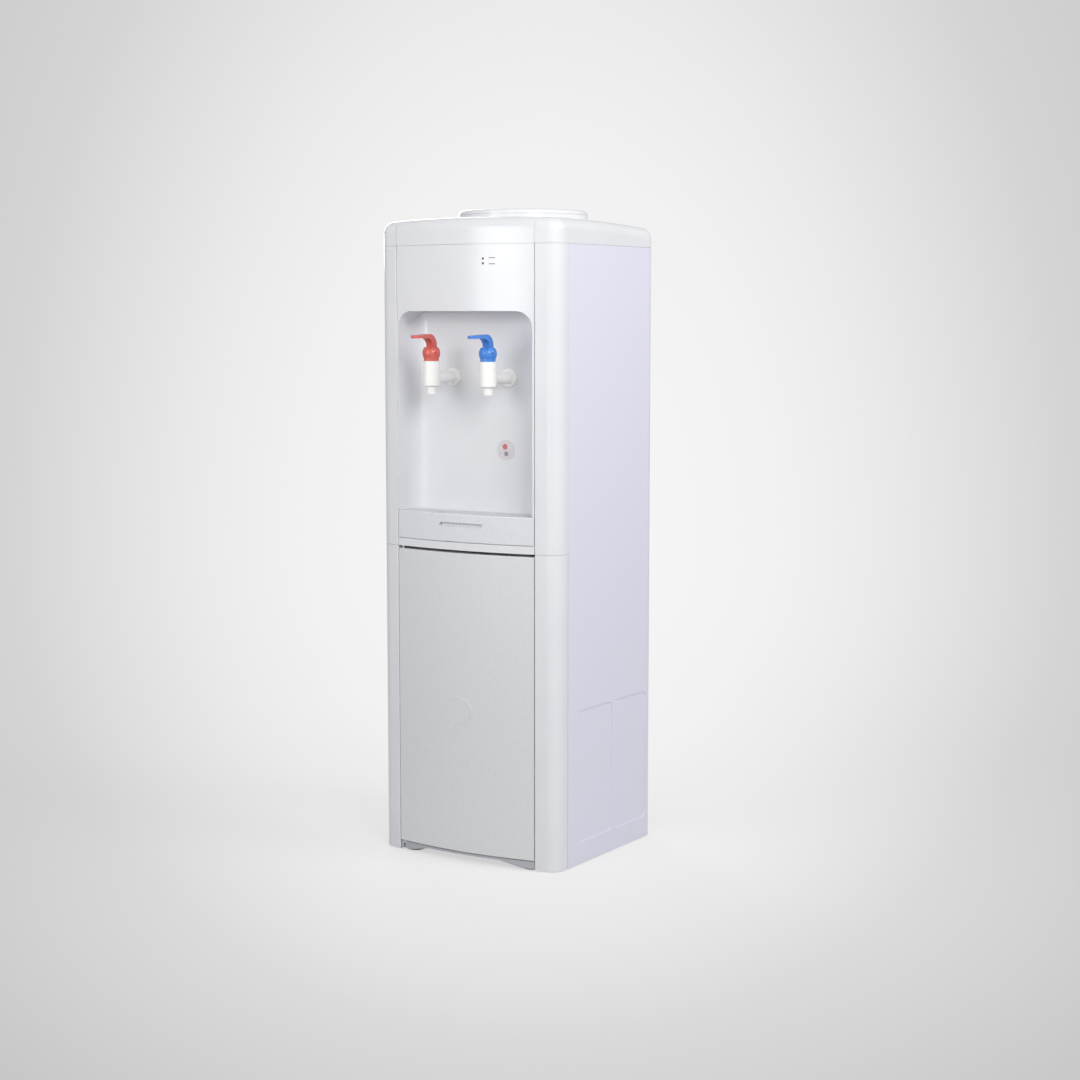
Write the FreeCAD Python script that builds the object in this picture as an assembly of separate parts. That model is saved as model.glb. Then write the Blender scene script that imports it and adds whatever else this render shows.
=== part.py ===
import FreeCAD, Part
import math
import os

# Free-standing hot and cold water dispenser with a bottle seat on top and a
# storage cupboard below.  Millimetres, +Z up, -Y is the front.  The model is
# drawn with Y = 0 at the front edge of the side panels, and is moved at the
# end so that the origin is the middle of its footprint on the floor.

V = FreeCAD.Vector
os.makedirs("parts", exist_ok=True)

# ------------------------------------------------------------ cabinet sizes
cabinet_half = 155.0          # half the width over the side panels
side_depth = 252.0            # side panel, front edge to rear face
front_bulge = 46.0            # middle of the bowed front ahead of the side panels
bow_radius = 592.0            # plan radius of the bowed front
corner_radius = 24.0          # plan radius of the front pillars
rear_corner_radius = 22.0     # plan radius of the rear edges
floor_gap = 1.5               # lower edge of the panels above the floor
seam_z = 460.0                # seam between the lower and the upper front
cover_seam_z = 898.4          # lower edge of the top cover
crown_rise = 38.6             # top cover's highest point above its lower edge
crown_radius = 3600.0         # radius of the crown
crown_y = 20.0                # where the crown is highest
cover_edge_radius = 17.0      # rounded upper edge of the top cover
wall = 2.5                    # plastic mouldings
sheet = 1.2                   # sheet steel
gap = 0.3                     # between fixed pieces that lie side by side
seam_gap = 0.4                # half-open joints that show on the outside
pillar_seam = 1.2             # open seam beside the lower pillars
pillar_width = 36.4           # cabinet's side to the edge of the middle front
groove = 0.8                  # groove between middle panel and pillar
pillar_return = 20.0          # how far the pillar's inner wall goes back
tongue = 9.0                  # pillar tongue behind the side panel
edge_round = 1.2              # rounded edges of the mouldings
panel_half = cabinet_half - pillar_width
crown_z = cover_seam_z + crown_rise

# ---------------------------------------------------------- dispensing bay
bay_wall = 2.5                # wall of the dispensing bay
bay_back_y = 11.0             # rear wall of the bay
fascia_height = 94.4          # bay's upper edge below the cover
bay_top_radius = 25.0         # its rounded upper corners
bay_corner_radius = 22.0      # its rounded inner corners, in plan
shelf_thickness = 2.5         # shelf under the drip tray
rail_height = 11.5            # rail between the door and the tray
bay_top_z = cover_seam_z - fascia_height

# --------------------------------------------------------------- drip tray
tray_front_height = 41.0      # visible front of the tray
tray_front_wall = 3.0
tray_wall = 2.0
tray_side_clearance = 1.2     # basin to the walls of the bay
tray_floor = 2.5
grille_thickness = 2.5
grille_slot = 4.0
grille_pitch = 8.0
slot_columns = 3
slot_bridge = 8.0             # between two slots of a row
grille_margin = 15.0          # solid edge of the grille
grip_width = 75.0             # finger slot in the tray's front
grip_height = 6.0
grip_depth = 6.0
grip_drop = 15.5              # centre of the slot below the tray's upper edge

# -------------------------------------------------------------------- taps
tap_x = 49.0                  # taps left and right of the middle
tap_reach = 57.0              # tap axis in front of the bay's rear wall
tap_drop = 95.5               # horizontal stem below the bay's upper edge
tap_radius = 12.5
tap_top = 24.0                # body's upper rim above the stem
tap_bottom = 12.5             # body's lower end below the stem
nozzle_radius = 8.0
nozzle_length = 11.0
nozzle_bore = 4.5
stem_radius = 8.5
stem_bore = 5.0
stem_tail = 22.0              # threaded tail behind the bay's wall
flange_radius = 13.0
flange_thickness = 4.0
nut_radius = 15.0             # locknut over its corners
nut_thickness = 7.0
chamber_radius = 8.0
ball_radius = 13.0            # ball-shaped bonnet
ball_rise = 10.8              # ball's centre above the bonnet's lower face
ball_foot_radius = 11.0
ball_foot_height = 4.0
ball_flat = 19.5              # flat on top of the ball, above the lower face
slot_half = 6.2               # slot in the bonnet that holds the lever
lever_play = 0.4              # between the lever and the slot's walls
pin_radius = 1.2
pin_forward = 5.0             # lever pin in front of the tap's axis
pin_rise = 11.2               # lever pin above the bonnet's lower face
hub_radius = 4.5
neck_rear = 6.0               # lever neck behind the tap's axis
neck_front = 4.0              # lever neck in front of the tap's axis
lever_height = 38.4           # top of the lever above the bonnet's lower face
lever_tip = 45.0              # lever tip in front of the tap's axis
lever_bend = 17.0             # outer bend of the lever
lever_thickness = 6.0
tip_thickness = 4.0
lever_lost = 1.3              # lever's travel before it lifts the rod
paddle_half = 7.5             # half width of the finger paddle
rod_radius = 2.0              # valve rod
rod_head_radius = 2.8
rod_head = 2.0
running = 0.05                # running clearance of pins and rods
tap_stem_z = bay_top_z - tap_drop

# -------------------------------------------------------------- cupboard
door_edge = 0.4               # door edge to the panel's nominal edge
door_bottom_z = 15.0
door_top_gap = 4.0            # finger gap over the door
door_back_y = -17.0
door_wall = 2.5
hinge_inset = 7.6             # hinge pins inside the middle panel's edge
hinge_y = -31.5
hinge_pin_radius = 2.5
hinge_pin_reach = 9.0
liner_inset = 12.6            # liner inside the middle panel's edge
liner_flange_inset = 1.6
liner_back_y = 118.0
liner_wall = 2.0
liner_front_y = -14.5
liner_drop = 15.0             # liner's top below the seam
emblem_x = -7.0
emblem_z = 225.0
emblem_half_width = 26.0
emblem_half_height = 19.0
emblem_rise = 0.8
emblem_rim = 2.2
catch_inset = 18.6            # magnet catch inside the middle panel's edge
catch_width = 40.0
catch_height = 12.0
catch_depth = 12.0
hinge_x = -(panel_half - hinge_inset)
liner_half = panel_half - liner_inset
liner_flange_half = panel_half - liner_flange_inset
liner_top_z = seam_z - liner_drop

# ------------------------------------------------------------------- base
plinth_z = 10.7               # underside of the plinth
deck_thickness = 3.3
plinth_inset = 2.0            # plinth front behind the door's face
foot_z = 3.0
foot_slope_start = 56.6       # wedge foot's slope from the panel's edge
foot_slope_end = 19.6
foot_half_width = 14.0        # rubber pad radius
foot_stub = 4.0
front_foot_inset = 14.6
front_foot_y = -14.0
rear_foot_inset = 30.0
rear_foot_forward = 37.0
rim_height = 10.0             # plinth's rim above the deck
front_foot_x = panel_half - front_foot_inset
rear_foot_x = cabinet_half - rear_foot_inset
rear_foot_y = side_depth - rear_foot_forward

# ------------------------------------------------------- bottle seat, tank
seat_to_rear = 129.0          # axis of the bottle seat to the rear face
collar_radius = 96.0
collar_wall = 3.0
collar_rise = 14.0            # seat's lip above the top cover
lip_height = 6.0
lip_radius = 5.0
funnel_radius = 84.0
funnel_depth = 26.0
neck_bore = 28.5              # takes the neck of a bottle
neck_wall = 3.0
neck_reach = 12.0             # neck inside the tank
skirt_wall = 2.4
tank_drop = 32.0              # tank's top below the crown
tank_radius = 72.0
tank_height = 167.0
tank_wall = 1.0
tank_mouth = 38.0
coil_tube = 4.0
coil_turns = 8
coil_rise = 30.0              # coil's lower end above the tank's bottom
foam_radius = 98.0
foam_floor = 17.2             # foam under the cold tank
platform_sheet = 1.5
mid_shelf_drop = 4.0          # lower platform below the seam
seat_y = side_depth - seat_to_rear
seat_top_z = crown_z + collar_rise
lip_z = seat_top_z - lip_height
funnel_bottom_z = seat_top_z - funnel_depth
tank_top_z = crown_z - tank_drop
tank_bottom_z = tank_top_z - tank_height
neck_bottom_z = tank_top_z - neck_reach
coil_bottom_z = tank_bottom_z + coil_rise
platform_z = tank_bottom_z - foam_floor - platform_sheet - gap
mid_shelf_z = seam_z - mid_shelf_drop

hot_behind = 7.0              # hot tank's axis behind the seat's axis
hot_radius = 52.0
hot_lift = 44.0               # hot tank above the lower platform
hot_height = 140.0
hot_foam_radius = 72.0
band_lift = 30.0              # heater band above the hot tank's bottom
band_height = 42.0
band_thickness = 3.0
hose_outer = 5.0
hose_inner = 3.5
stub_wall = 1.0
stub_length = 14.0
hot_y = seat_y + hot_behind
hot_bottom_z = mid_shelf_z + hot_lift
hot_top_z = hot_bottom_z + hot_height
band_z = hot_bottom_z + band_lift

# ---------------------------------------------------------------- rear side
rear_flange = 37.0            # side panels' rear flange, over its width
rear_inset = 19.5             # rear panel inside the cabinet's width
rear_drop = 6.4               # rear panel's top below the cover
rear_bottom_z = 208.0         # rear panel's lower edge over the open bay
screw_inset = 29.0
screw_radius = 1.9
screw_head = 3.6
screw_rows = 5
screw_tail = 5.0              # screw point in front of the rear panel
vent_rows = 6
vent_length = 146.0
controls_inset = 57.0         # column of controls beside the condenser
switch_drop = [52.0, 92.0]    # switches below the rear panel's top
knob_drop = 140.0
drain_lift = 22.0             # drain above the lower platform
gland_lift = 24.0             # cord gland above the rear panel's edge
gland_bore = 3.6
rocker_half_x = 6.0
rocker_half_z = 9.5
rocker_angle = 8.0
rocker_pin = 1.5
knob_radius = 12.0
shaft_radius = 3.0
cap_radius = 11.0
spout_radius = 8.0
condenser_behind = 10.0       # condenser's tube behind the side panels
condenser_inset = 59.0
condenser_to_controls = 48.0
condenser_z0 = 250.0
condenser_drop = 57.0         # condenser's last run below the rear panel's top
condenser_runs = 14
condenser_tube = 2.4
rod_wire = 0.75
wire_pitch = 9.0
wire_overhang = 8.0           # wires beyond the first and the last run
rear_flange_x = cabinet_half - rear_flange
rear_half = cabinet_half - rear_inset
rear_top_z = cover_seam_z - rear_drop
screw_x = cabinet_half - screw_inset
controls_x = cabinet_half - controls_inset
switch_z = [rear_top_z - drop for drop in switch_drop]
knob_z = rear_top_z - knob_drop
drain_z = mid_shelf_z + drain_lift
gland_z = rear_bottom_z + gland_lift
condenser_y = side_depth + condenser_behind
condenser_x0 = -(cabinet_half - condenser_inset)
condenser_x1 = controls_x - condenser_to_controls
condenser_z1 = rear_top_z - condenser_drop
condenser_pitch = (condenser_z1 - condenser_z0) / (condenser_runs - 1)

# ------------------------------------------------- refrigeration, base bay
comp_x = -22.0                # compressor's axis
comp_to_rear = 66.0
comp_radius = 52.0
comp_height = 122.0
comp_lift = 20.0              # underside of the shell above the deck
comp_knuckle = 16.0           # rounded edges of the shell
comp_lip = 3.0                # weld seam round the shell
comp_foot_x = 68.0
comp_foot_y = 42.0
port_radius = 4.0
port_height = 6.0
dryer_inset = 63.0
dryer_to_rear = 27.0
dryer_z0 = 90.0
dryer_length = 60.0
dryer_radius = 9.0
dryer_cone = 12.0
suction_inset = 47.0
suction_to_rear = 52.0
suction_radius = 2.8
riser_inset = 45.0
riser_to_rear = 37.0
capillary_radius = 1.0
line_hole = 6.0               # holes for the lines in the platforms
comp_y = side_depth - comp_to_rear
dryer_x = -(cabinet_half - dryer_inset)
dryer_y = side_depth - dryer_to_rear
suction_x = -(cabinet_half - suction_inset)
suction_y = side_depth - suction_to_rear
riser_x = -(cabinet_half - riser_inset)
riser_y = side_depth - riser_to_rear

# ------------------------------------------------------------ small pieces
field_z0 = 33.0               # stamped fields of the side panels
field_z1 = 228.0
field_front = 28.0            # fields from the panel's front and rear edges
field_rear = 26.0
field_middle = 129.0
field_between = 8.0
field_radius = 8.0
lens_x = 40.0
lens_drop = [20.8, 27.4]      # lamps below the top cover
lens_radius = 1.6
badge_x = 42.0
badge_lift = 132.5            # badge above the bay's shelf
badge_radius = 15.0
badge_thickness = 0.8
field_y = [
    (field_front, field_middle - field_between / 2),
    (field_middle + field_between / 2, side_depth - field_rear),
]
lens_z = [cover_seam_z - drop for drop in lens_drop]


# ----------------------------------------------------------------- helpers
def box(x0, x1, y0, y1, z0, z1):
    return Part.makeBox(x1 - x0, y1 - y0, z1 - z0, V(x0, y0, z0))


def rod(radius, start, end):
    return Part.makeCylinder(radius, start.distanceToPoint(end), start, end - start)


def tube(outer, inner, start, end):
    return rod(outer, start, end).cut(rod(inner, start, end))


def mirror(shape):
    return shape.mirror(V(0, 0, 0), V(1, 0, 0))


def join(first, *others):
    return first.multiFuse(list(others)).removeSplitter()


def extruded(edges, direction):
    return Part.Face(Part.Wire(edges)).extrude(direction)


def arc(a, b, c):
    return Part.Arc(a, b, c).toShape()


def line(a, b):
    return Part.LineSegment(a, b).toShape()


def round_edges(solid, radius, direction, spot=None):
    """Fillets the straight edges that run along direction, inside spot if given."""
    picked = []
    for edge in solid.Edges:
        if not isinstance(edge.Curve, Part.Line):
            continue
        along = (edge.Vertexes[-1].Point - edge.Vertexes[0].Point).normalize()
        if abs(abs(along.dot(direction)) - 1) > 1e-6:
            continue
        if spot is None or spot.BoundBox.isInside(edge.CenterOfMass):
            picked.append(edge)
    return solid.makeFillet(radius, picked)


def outline(inset):
    """Plan outline of the cabinet, moved inwards: bow, pillars, sides, rear."""
    bow_y = bow_radius - front_bulge
    reach = bow_radius - corner_radius
    corner_x = cabinet_half - corner_radius
    corner_y = bow_y - math.sqrt(reach ** 2 - corner_x ** 2)
    turn = math.atan2(corner_y - bow_y, corner_x)
    bow = bow_radius - inset
    corner = corner_radius - inset
    rear = rear_corner_radius - inset
    side = cabinet_half - inset
    back = side_depth - inset
    rear_x = cabinet_half - rear_corner_radius
    rear_y = side_depth - rear_corner_radius

    def at(x, y):
        return V(x, y, 0)

    right = at(bow * math.cos(turn), bow_y + bow * math.sin(turn))
    middle = at(corner_x + corner * math.cos(turn / 2), corner_y + corner * math.sin(turn / 2))
    rear_mid = at(rear_x + rear * math.sqrt(0.5), rear_y + rear * math.sqrt(0.5))

    def left(p):
        return V(-p.x, p.y, 0)

    front_end = at(side, corner_y)
    rear_start = at(side, rear_y)
    rear_end = at(rear_x, back)
    return [
        arc(left(right), at(0, inset - front_bulge), right),
        arc(right, middle, front_end),
        line(front_end, rear_start),
        arc(rear_start, rear_mid, rear_end),
        line(rear_end, left(rear_end)),
        arc(left(rear_end), left(rear_mid), left(rear_start)),
        line(left(rear_start), left(front_end)),
        arc(left(front_end), left(middle), left(right)),
    ]


def plan(inset, z0, z1):
    prism = extruded(outline(inset), V(0, 0, z1 - z0))
    prism.translate(V(0, 0, z0))
    return prism


def front_y(x, inset=0.0):
    """Y of the bowed front at x, moved inwards by inset."""
    return bow_radius - front_bulge - math.sqrt((bow_radius - inset) ** 2 - x ** 2)


def round_front(solid, radius):
    """Fillets the outline of the bowed front face."""
    bowed = [face for face in solid.Faces if isinstance(face.Surface, Part.Cylinder)]
    front = max(bowed, key=lambda face: face.Area)
    return solid.makeFillet(radius, front.OuterWire.Edges)


def pipe(points, outer, inner, bend=0.45):
    """Tube along straight runs joined by tangent arcs, with its bore."""
    edges = []
    last = points[0]
    for here, corner, beyond in zip(points, points[1:], points[2:]):
        into = corner - here
        away = beyond - corner
        half = into.getAngle(away) / 2
        shorter = min(into.Length, away.Length)
        cut = bend * shorter
        into.normalize()
        away.normalize()
        radius = cut / math.tan(half)
        start = corner - into * cut
        end = corner + away * cut
        inwards = (away - into).normalize()
        middle = corner + inwards * (radius / math.cos(half) - radius)
        edges.append(line(last, start))
        edges.append(arc(start, middle, end))
        last = end
    edges.append(line(last, points[-1]))
    path = Part.Wire(edges)
    direction = points[1] - points[0]

    def swept(radius):
        ring = Part.Wire(Part.Circle(points[0], direction, radius).toShape())
        return path.makePipeShell([ring], True, False)

    return swept(outer).cut(swept(inner)) if inner else swept(outer)


pieces = {}

# ------------------------------------------------------------ base plinth
# Moulded base: a deck under everything, a rim inside the side panels, two
# wedge feet in front and two blocks behind.
deck_top_z = plinth_z + deck_thickness
rim_z = deck_top_z + rim_height
base_inset = sheet + gap
front_half = panel_half - door_edge
front_part = plan(plinth_inset, plinth_z, deck_top_z)
front_part = front_part.common(box(-front_half, front_half, -front_bulge, tongue, plinth_z, deck_top_z))
rear_part = plan(base_inset, plinth_z, deck_top_z)
behind_pillars = box(-cabinet_half, cabinet_half, gap, side_depth, 0, rim_z)
rear_part = rear_part.common(behind_pillars)
rim = plan(base_inset, plinth_z, rim_z).cut(plan(base_inset + wall, plinth_z, rim_z))
rim_zone = box(-cabinet_half, cabinet_half, tongue + seam_gap, side_depth, plinth_z, rim_z)
rim = rim.common(rim_zone)
notch = box(cabinet_half - sheet - gap - wall - gap, cabinet_half, 0, tongue + seam_gap, 0, rim_z)
wedge_points = [
    V(panel_half - foot_slope_start, -front_bulge, plinth_z),
    V(panel_half - foot_slope_end, -front_bulge, foot_z),
    V(front_half, -front_bulge, foot_z),
    V(front_half, -front_bulge, plinth_z),
]
wedge = Part.Face(Part.makePolygon(wedge_points + [wedge_points[0]]))
wedge = wedge.extrude(V(0, front_bulge + tongue, 0)).common(plan(plinth_inset, 0, rim_z))
block = box(
    rear_foot_x - foot_half_width - wall, rear_foot_x + foot_half_width + wall,
    rear_foot_y - foot_half_width - wall, rear_foot_y + foot_half_width + wall,
    foot_z, plinth_z,
)
base = join(front_part, rear_part, rim, wedge, mirror(wedge), block, mirror(block))
base = base.cut(notch).cut(mirror(notch))

# Rubber pads with a stub that is pressed into the feet.
pads = []
for x, y in [(front_foot_x, front_foot_y), (rear_foot_x, rear_foot_y)]:
    for side in [-1, 1]:
        pad = rod(foot_half_width, V(side * x, y, 0), V(side * x, y, foot_z))
        stub = rod(foot_stub, V(side * x, y, foot_z), V(side * x, y, plinth_z - wall))
        socket = rod(foot_stub + running, V(side * x, y, foot_z), V(side * x, y, plinth_z))
        base = base.cut(socket)
        pads.append(join(pad, stub))
pieces["rubber_feet"] = Part.makeCompound(pads)


# ---------------------------------------------------------- front pillars
def pillar(z0, z1, seam):
    """Right-hand pillar: rounded shell, inner wall at the groove, tongue."""
    edge = panel_half + groove
    zone = box(edge, cabinet_half, -front_bulge, -seam, z0, z1)
    outer = plan(0, z0, z1).common(zone)
    front_edge = box(edge - 1, edge + 1, -front_bulge, front_y(edge) + 1, z0, z1)
    outer = round_edges(outer, edge_round, V(0, 0, 1), front_edge)
    behind_edge = box(edge + wall, cabinet_half, -front_bulge, 0, z0, z1)
    hollow = plan(wall, z0 + wall, z1 - wall).common(behind_edge)
    open_back = box(edge + wall, cabinet_half, -pillar_return + wall, 0, z0, z1)
    open_back = open_back.common(plan(wall, z0, z1))
    shell = outer.cut(hollow).cut(open_back)
    inner_x = cabinet_half - sheet - gap
    strip = box(inner_x - wall, inner_x, -corner_radius / 3, tongue, z0 + wall, z1 - wall)
    return join(shell, strip)


upper_z0 = seam_z + seam_gap / 2
upper_z1 = cover_seam_z - gap
lower_pillar = pillar(floor_gap, seam_z - seam_gap / 2, pillar_seam)
upper_pillar = pillar(upper_z0, upper_z1, gap)
pieces["lower_pillar_right"] = lower_pillar
pieces["lower_pillar_left"] = mirror(lower_pillar)
pieces["upper_pillar_right"] = upper_pillar
pieces["upper_pillar_left"] = mirror(upper_pillar)

# ------------------------------------------------------------ side panels
# Sheet steel with a folded rear flange, a top flange and two stamped fields.
side = plan(0, floor_gap, upper_z1).cut(plan(sheet, floor_gap, upper_z1))
side = side.common(box(rear_flange_x, cabinet_half, 0, side_depth, floor_gap, upper_z1))
top_flange_width = 14.0
top_flange = box(
    cabinet_half - top_flange_width, cabinet_half - sheet / 2,
    tongue + gap, side_depth - rear_corner_radius - 3.0,
    upper_z1 - sheet, upper_z1,
)
side = side.fuse(top_flange)
for y0, y1 in field_y:
    recess = box(cabinet_half - sheet, cabinet_half, y0, y1, field_z0, field_z1)
    recess = round_edges(recess, field_radius, V(1, 0, 0))
    stamped = box(
        cabinet_half - 2 * sheet, cabinet_half - sheet,
        y0 - sheet, y1 + sheet, field_z0 - sheet, field_z1 + sheet,
    )
    stamped = round_edges(stamped, field_radius + sheet, V(1, 0, 0))
    side = side.cut(recess).fuse(stamped)
side = side.removeSplitter()

# --------------------------------------------------------------- rear panel
panel_y1 = side_depth - sheet - gap
panel_y0 = panel_y1 - sheet
rear = box(-rear_half, rear_half, panel_y0, panel_y1, rear_bottom_z, rear_top_z)
for row in range(vent_rows):
    z = rear_top_z - 22.0 - 7.0 * row
    slot = box(condenser_x0, condenser_x0 + vent_length, panel_y0, panel_y1, z, z + 3.0)
    rear = rear.cut(round_edges(slot, 1.45, V(0, 1, 0)))

# Screws through the folded flanges into the rear panel.
screws = []
screw_margin = 30.0
screw_step = (rear_top_z - rear_bottom_z - 2 * screw_margin) / (screw_rows - 1)
for row in range(screw_rows):
    for sign in [-1, 1]:
        x = sign * screw_x
        z = rear_bottom_z + screw_margin + screw_step * row
        shank = rod(screw_radius, V(x, panel_y0 - screw_tail, z), V(x, side_depth, z))
        head = rod(screw_head, V(x, side_depth, z), V(x, side_depth + 2.0, z))
        cross = box(x - 2.0, x + 2.0, side_depth + 1.0, side_depth + 2.0, z - 0.4, z + 0.4)
        cross = cross.fuse(box(x - 0.4, x + 0.4, side_depth + 1.0, side_depth + 2.0, z - 2.0, z + 2.0))
        screws.append(join(shank, head).cut(cross))
        hole = rod(screw_radius + 0.2, V(x, panel_y0, z), V(x, side_depth, z))
        rear = rear.cut(hole)
        if sign > 0:
            side = side.cut(hole)
pieces["panel_screws"] = Part.makeCompound(screws)
pieces["side_panel_right"] = side
pieces["side_panel_left"] = mirror(side)

# --------------------------------------------------------------- top cover
# Crowned cap with a raised ring that carries the bottle seat.
def cap(inset):
    solid = plan(inset, cover_seam_z, crown_z + 20.0)
    ball = Part.makeSphere(crown_radius - inset, V(0, crown_y, crown_z - crown_radius))
    solid = solid.common(ball)
    top = max(solid.Faces, key=lambda face: face.CenterOfMass.z)
    return solid.makeFillet(cover_edge_radius - inset, top.OuterWire.Edges)


seat_axis = V(0, seat_y, 0)
ring_root_z = cover_seam_z + 20.0
ring_top_z = lip_z - gap
ring_root = V(0, seat_y, ring_root_z)
ring_top = V(0, seat_y, ring_top_z)
inner_radius = collar_radius - collar_wall
foot_fillet = 3.0
cover = cap(0).fuse(rod(collar_radius, ring_root, ring_top))
foot_edges = []
for edge in cover.Edges:
    spot = edge.valueAt((edge.FirstParameter + edge.LastParameter) / 2)
    from_axis = math.hypot(spot.x, spot.y - seat_y)
    if abs(from_axis - collar_radius) < 0.01 and edge.BoundBox.ZMax < ring_top_z - foot_fillet:
        foot_edges.append(edge)
cover = cover.makeFillet(foot_fillet, foot_edges)
cover = cover.cut(cap(wall))
cover = cover.cut(rod(inner_radius, V(0, seat_y, cover_seam_z), ring_top))
cover = cover.fuse(tube(collar_radius, inner_radius, ring_root, ring_top)).removeSplitter()
line_depth = 0.8
band = cap(0).cut(cap(line_depth))
for sign in [-1, 1]:
    x = sign * (panel_half + groove / 2)
    strip = box(x - groove / 2, x + groove / 2, -front_bulge, 60.0, cover_seam_z, crown_z)
    cover = cover.cut(band.common(strip))
pieces["top_cover"] = cover

# ------------------------------------------------------------- bottle seat
# Removable funnel with a lip on the ring and a neck down into the tank.
skirt_radius = inner_radius - seam_gap
neck_outer = neck_bore + neck_wall
lip_face = Part.Face(Part.Wire([
    line(V(funnel_radius, 0, seat_top_z), V(collar_radius - lip_radius, 0, seat_top_z)),
    arc(
        V(collar_radius - lip_radius, 0, seat_top_z),
        V(collar_radius - lip_radius * (1 - math.sqrt(0.5)), 0, seat_top_z - lip_radius * (1 - math.sqrt(0.5))),
        V(collar_radius, 0, seat_top_z - lip_radius),
    ),
    line(V(collar_radius, 0, seat_top_z - lip_radius), V(collar_radius, 0, lip_z)),
    line(V(collar_radius, 0, lip_z), V(skirt_radius, 0, lip_z)),
    line(V(skirt_radius, 0, lip_z), V(skirt_radius, 0, lip_z - 12.0)),
    line(V(skirt_radius, 0, lip_z - 12.0), V(skirt_radius - skirt_wall, 0, lip_z - 12.0)),
    line(V(skirt_radius - skirt_wall, 0, lip_z - 12.0), V(skirt_radius - skirt_wall, 0, lip_z + 1.0)),
    line(V(skirt_radius - skirt_wall, 0, lip_z + 1.0), V(neck_outer + 6.0, 0, funnel_bottom_z - 2.5)),
    line(V(neck_outer + 6.0, 0, funnel_bottom_z - 2.5), V(neck_outer, 0, funnel_bottom_z - 6.0)),
    line(V(neck_outer, 0, funnel_bottom_z - 6.0), V(neck_outer, 0, neck_bottom_z)),
    line(V(neck_outer, 0, neck_bottom_z), V(neck_bore, 0, neck_bottom_z)),
    line(V(neck_bore, 0, neck_bottom_z), V(neck_bore, 0, funnel_bottom_z - 2.0)),
    line(V(neck_bore, 0, funnel_bottom_z - 2.0), V(neck_bore + 7.0, 0, funnel_bottom_z + 1.0)),
    line(V(neck_bore + 7.0, 0, funnel_bottom_z + 1.0), V(funnel_radius, 0, seat_top_z)),
]))
lip_face.translate(seat_axis)
pieces["bottle_seat"] = lip_face.revolve(seat_axis, V(0, 0, 1), 360)

# -------------------------------------------------------- upper front panel
# One moulding: the fascia over the bay, the bay itself, the shelf for the
# drip tray and the rail over the door.
shelf_top_z = seam_z + rail_height
bay_half = panel_half - bay_wall
bay_front_y = -front_bulge - 5.0
rail_bottom_z = upper_z0


def bay_prism(grow, z0):
    """The bay's hollow, made larger all round by grow, open to the front."""
    half = bay_half + grow
    back = bay_back_y + grow
    prism = box(-half, half, bay_front_y, back, z0, bay_top_z + grow)
    upright = box(-half - 1, half + 1, back - 1, back + 1, z0, bay_top_z + grow + 1)
    prism = round_edges(prism, bay_corner_radius + grow, V(0, 0, 1), upright)
    arch = box(-half, half, bay_front_y, back, z0, bay_top_z + grow)
    crown = box(-half - 1, half + 1, bay_front_y, back, bay_top_z + grow - 1, bay_top_z + grow + 1)
    arch = round_edges(arch, bay_top_radius + grow, V(0, 1, 0), crown)
    return prism.common(arch)


skin_zone = box(-panel_half, panel_half, -front_bulge, -front_bulge / 2, rail_bottom_z, upper_z1)
skin = plan(0, rail_bottom_z, upper_z1).common(skin_zone)
for side in [-1, 1]:
    x = side * panel_half
    corner = box(x - 1, x + 1, -front_bulge, front_y(panel_half) + 1, rail_bottom_z, upper_z1)
    skin = round_edges(skin, edge_round, V(0, 0, 1), corner)
skin = skin.cut(plan(wall, rail_bottom_z, upper_z1))
shell = bay_prism(bay_wall, shelf_top_z - shelf_thickness)
shell = shell.common(plan(0, rail_bottom_z, upper_z1))
rail_flange = plan(0, rail_bottom_z, rail_bottom_z + wall)
rail_flange = rail_flange.common(box(-panel_half, panel_half, -front_bulge, -5.0, 0, upper_z1))
front = join(skin, shell, rail_flange)
front = front.cut(bay_prism(0, shelf_top_z))
tray_zone = box(-panel_half, panel_half, -front_bulge, 0, shelf_top_z, shelf_top_z + tray_front_height + 0.6)
front = front.cut(tray_zone.cut(plan(tray_front_wall + seam_gap, 0, upper_z1)))
tap_y = bay_back_y - tap_reach
for sign in [-1, 1]:
    hole = rod(stem_radius + seam_gap, V(sign * tap_x, 0, tap_stem_z), V(sign * tap_x, 40.0, tap_stem_z))
    front = front.cut(hole)

# Two small lamp lenses in the fascia.
lenses = []
for z in lens_z:
    face_y = front_y(lens_x)
    front = front.cut(rod(lens_radius + running, V(lens_x, face_y - 2, z), V(lens_x, face_y + 8, z)))
    stem = rod(lens_radius, V(lens_x, face_y - 0.2, z), V(lens_x, face_y + 7.0, z))
    collar = rod(lens_radius + 1.2, V(lens_x, face_y + wall + 0.8, z), V(lens_x, face_y + 6.0, z))
    lenses.append(join(stem, collar))
pieces["indicator_lenses"] = Part.makeCompound(lenses)

# A plain round badge on the rear wall of the bay.
badge_z = shelf_top_z + badge_lift
pieces["bay_badge"] = rod(
    badge_radius, V(badge_x, bay_back_y - badge_thickness, badge_z), V(badge_x, bay_back_y, badge_z)
)

# --------------------------------------------------------------- drip tray
tray_z0 = shelf_top_z + seam_gap
tray_z1 = shelf_top_z + tray_front_height
tray_half = panel_half - door_edge
face = plan(0, tray_z0, tray_z1).common(box(-tray_half, tray_half, -front_bulge, 0, tray_z0, tray_z1))
face = round_front(face, edge_round)
face = face.cut(plan(tray_front_wall, tray_z0, tray_z1))


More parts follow.
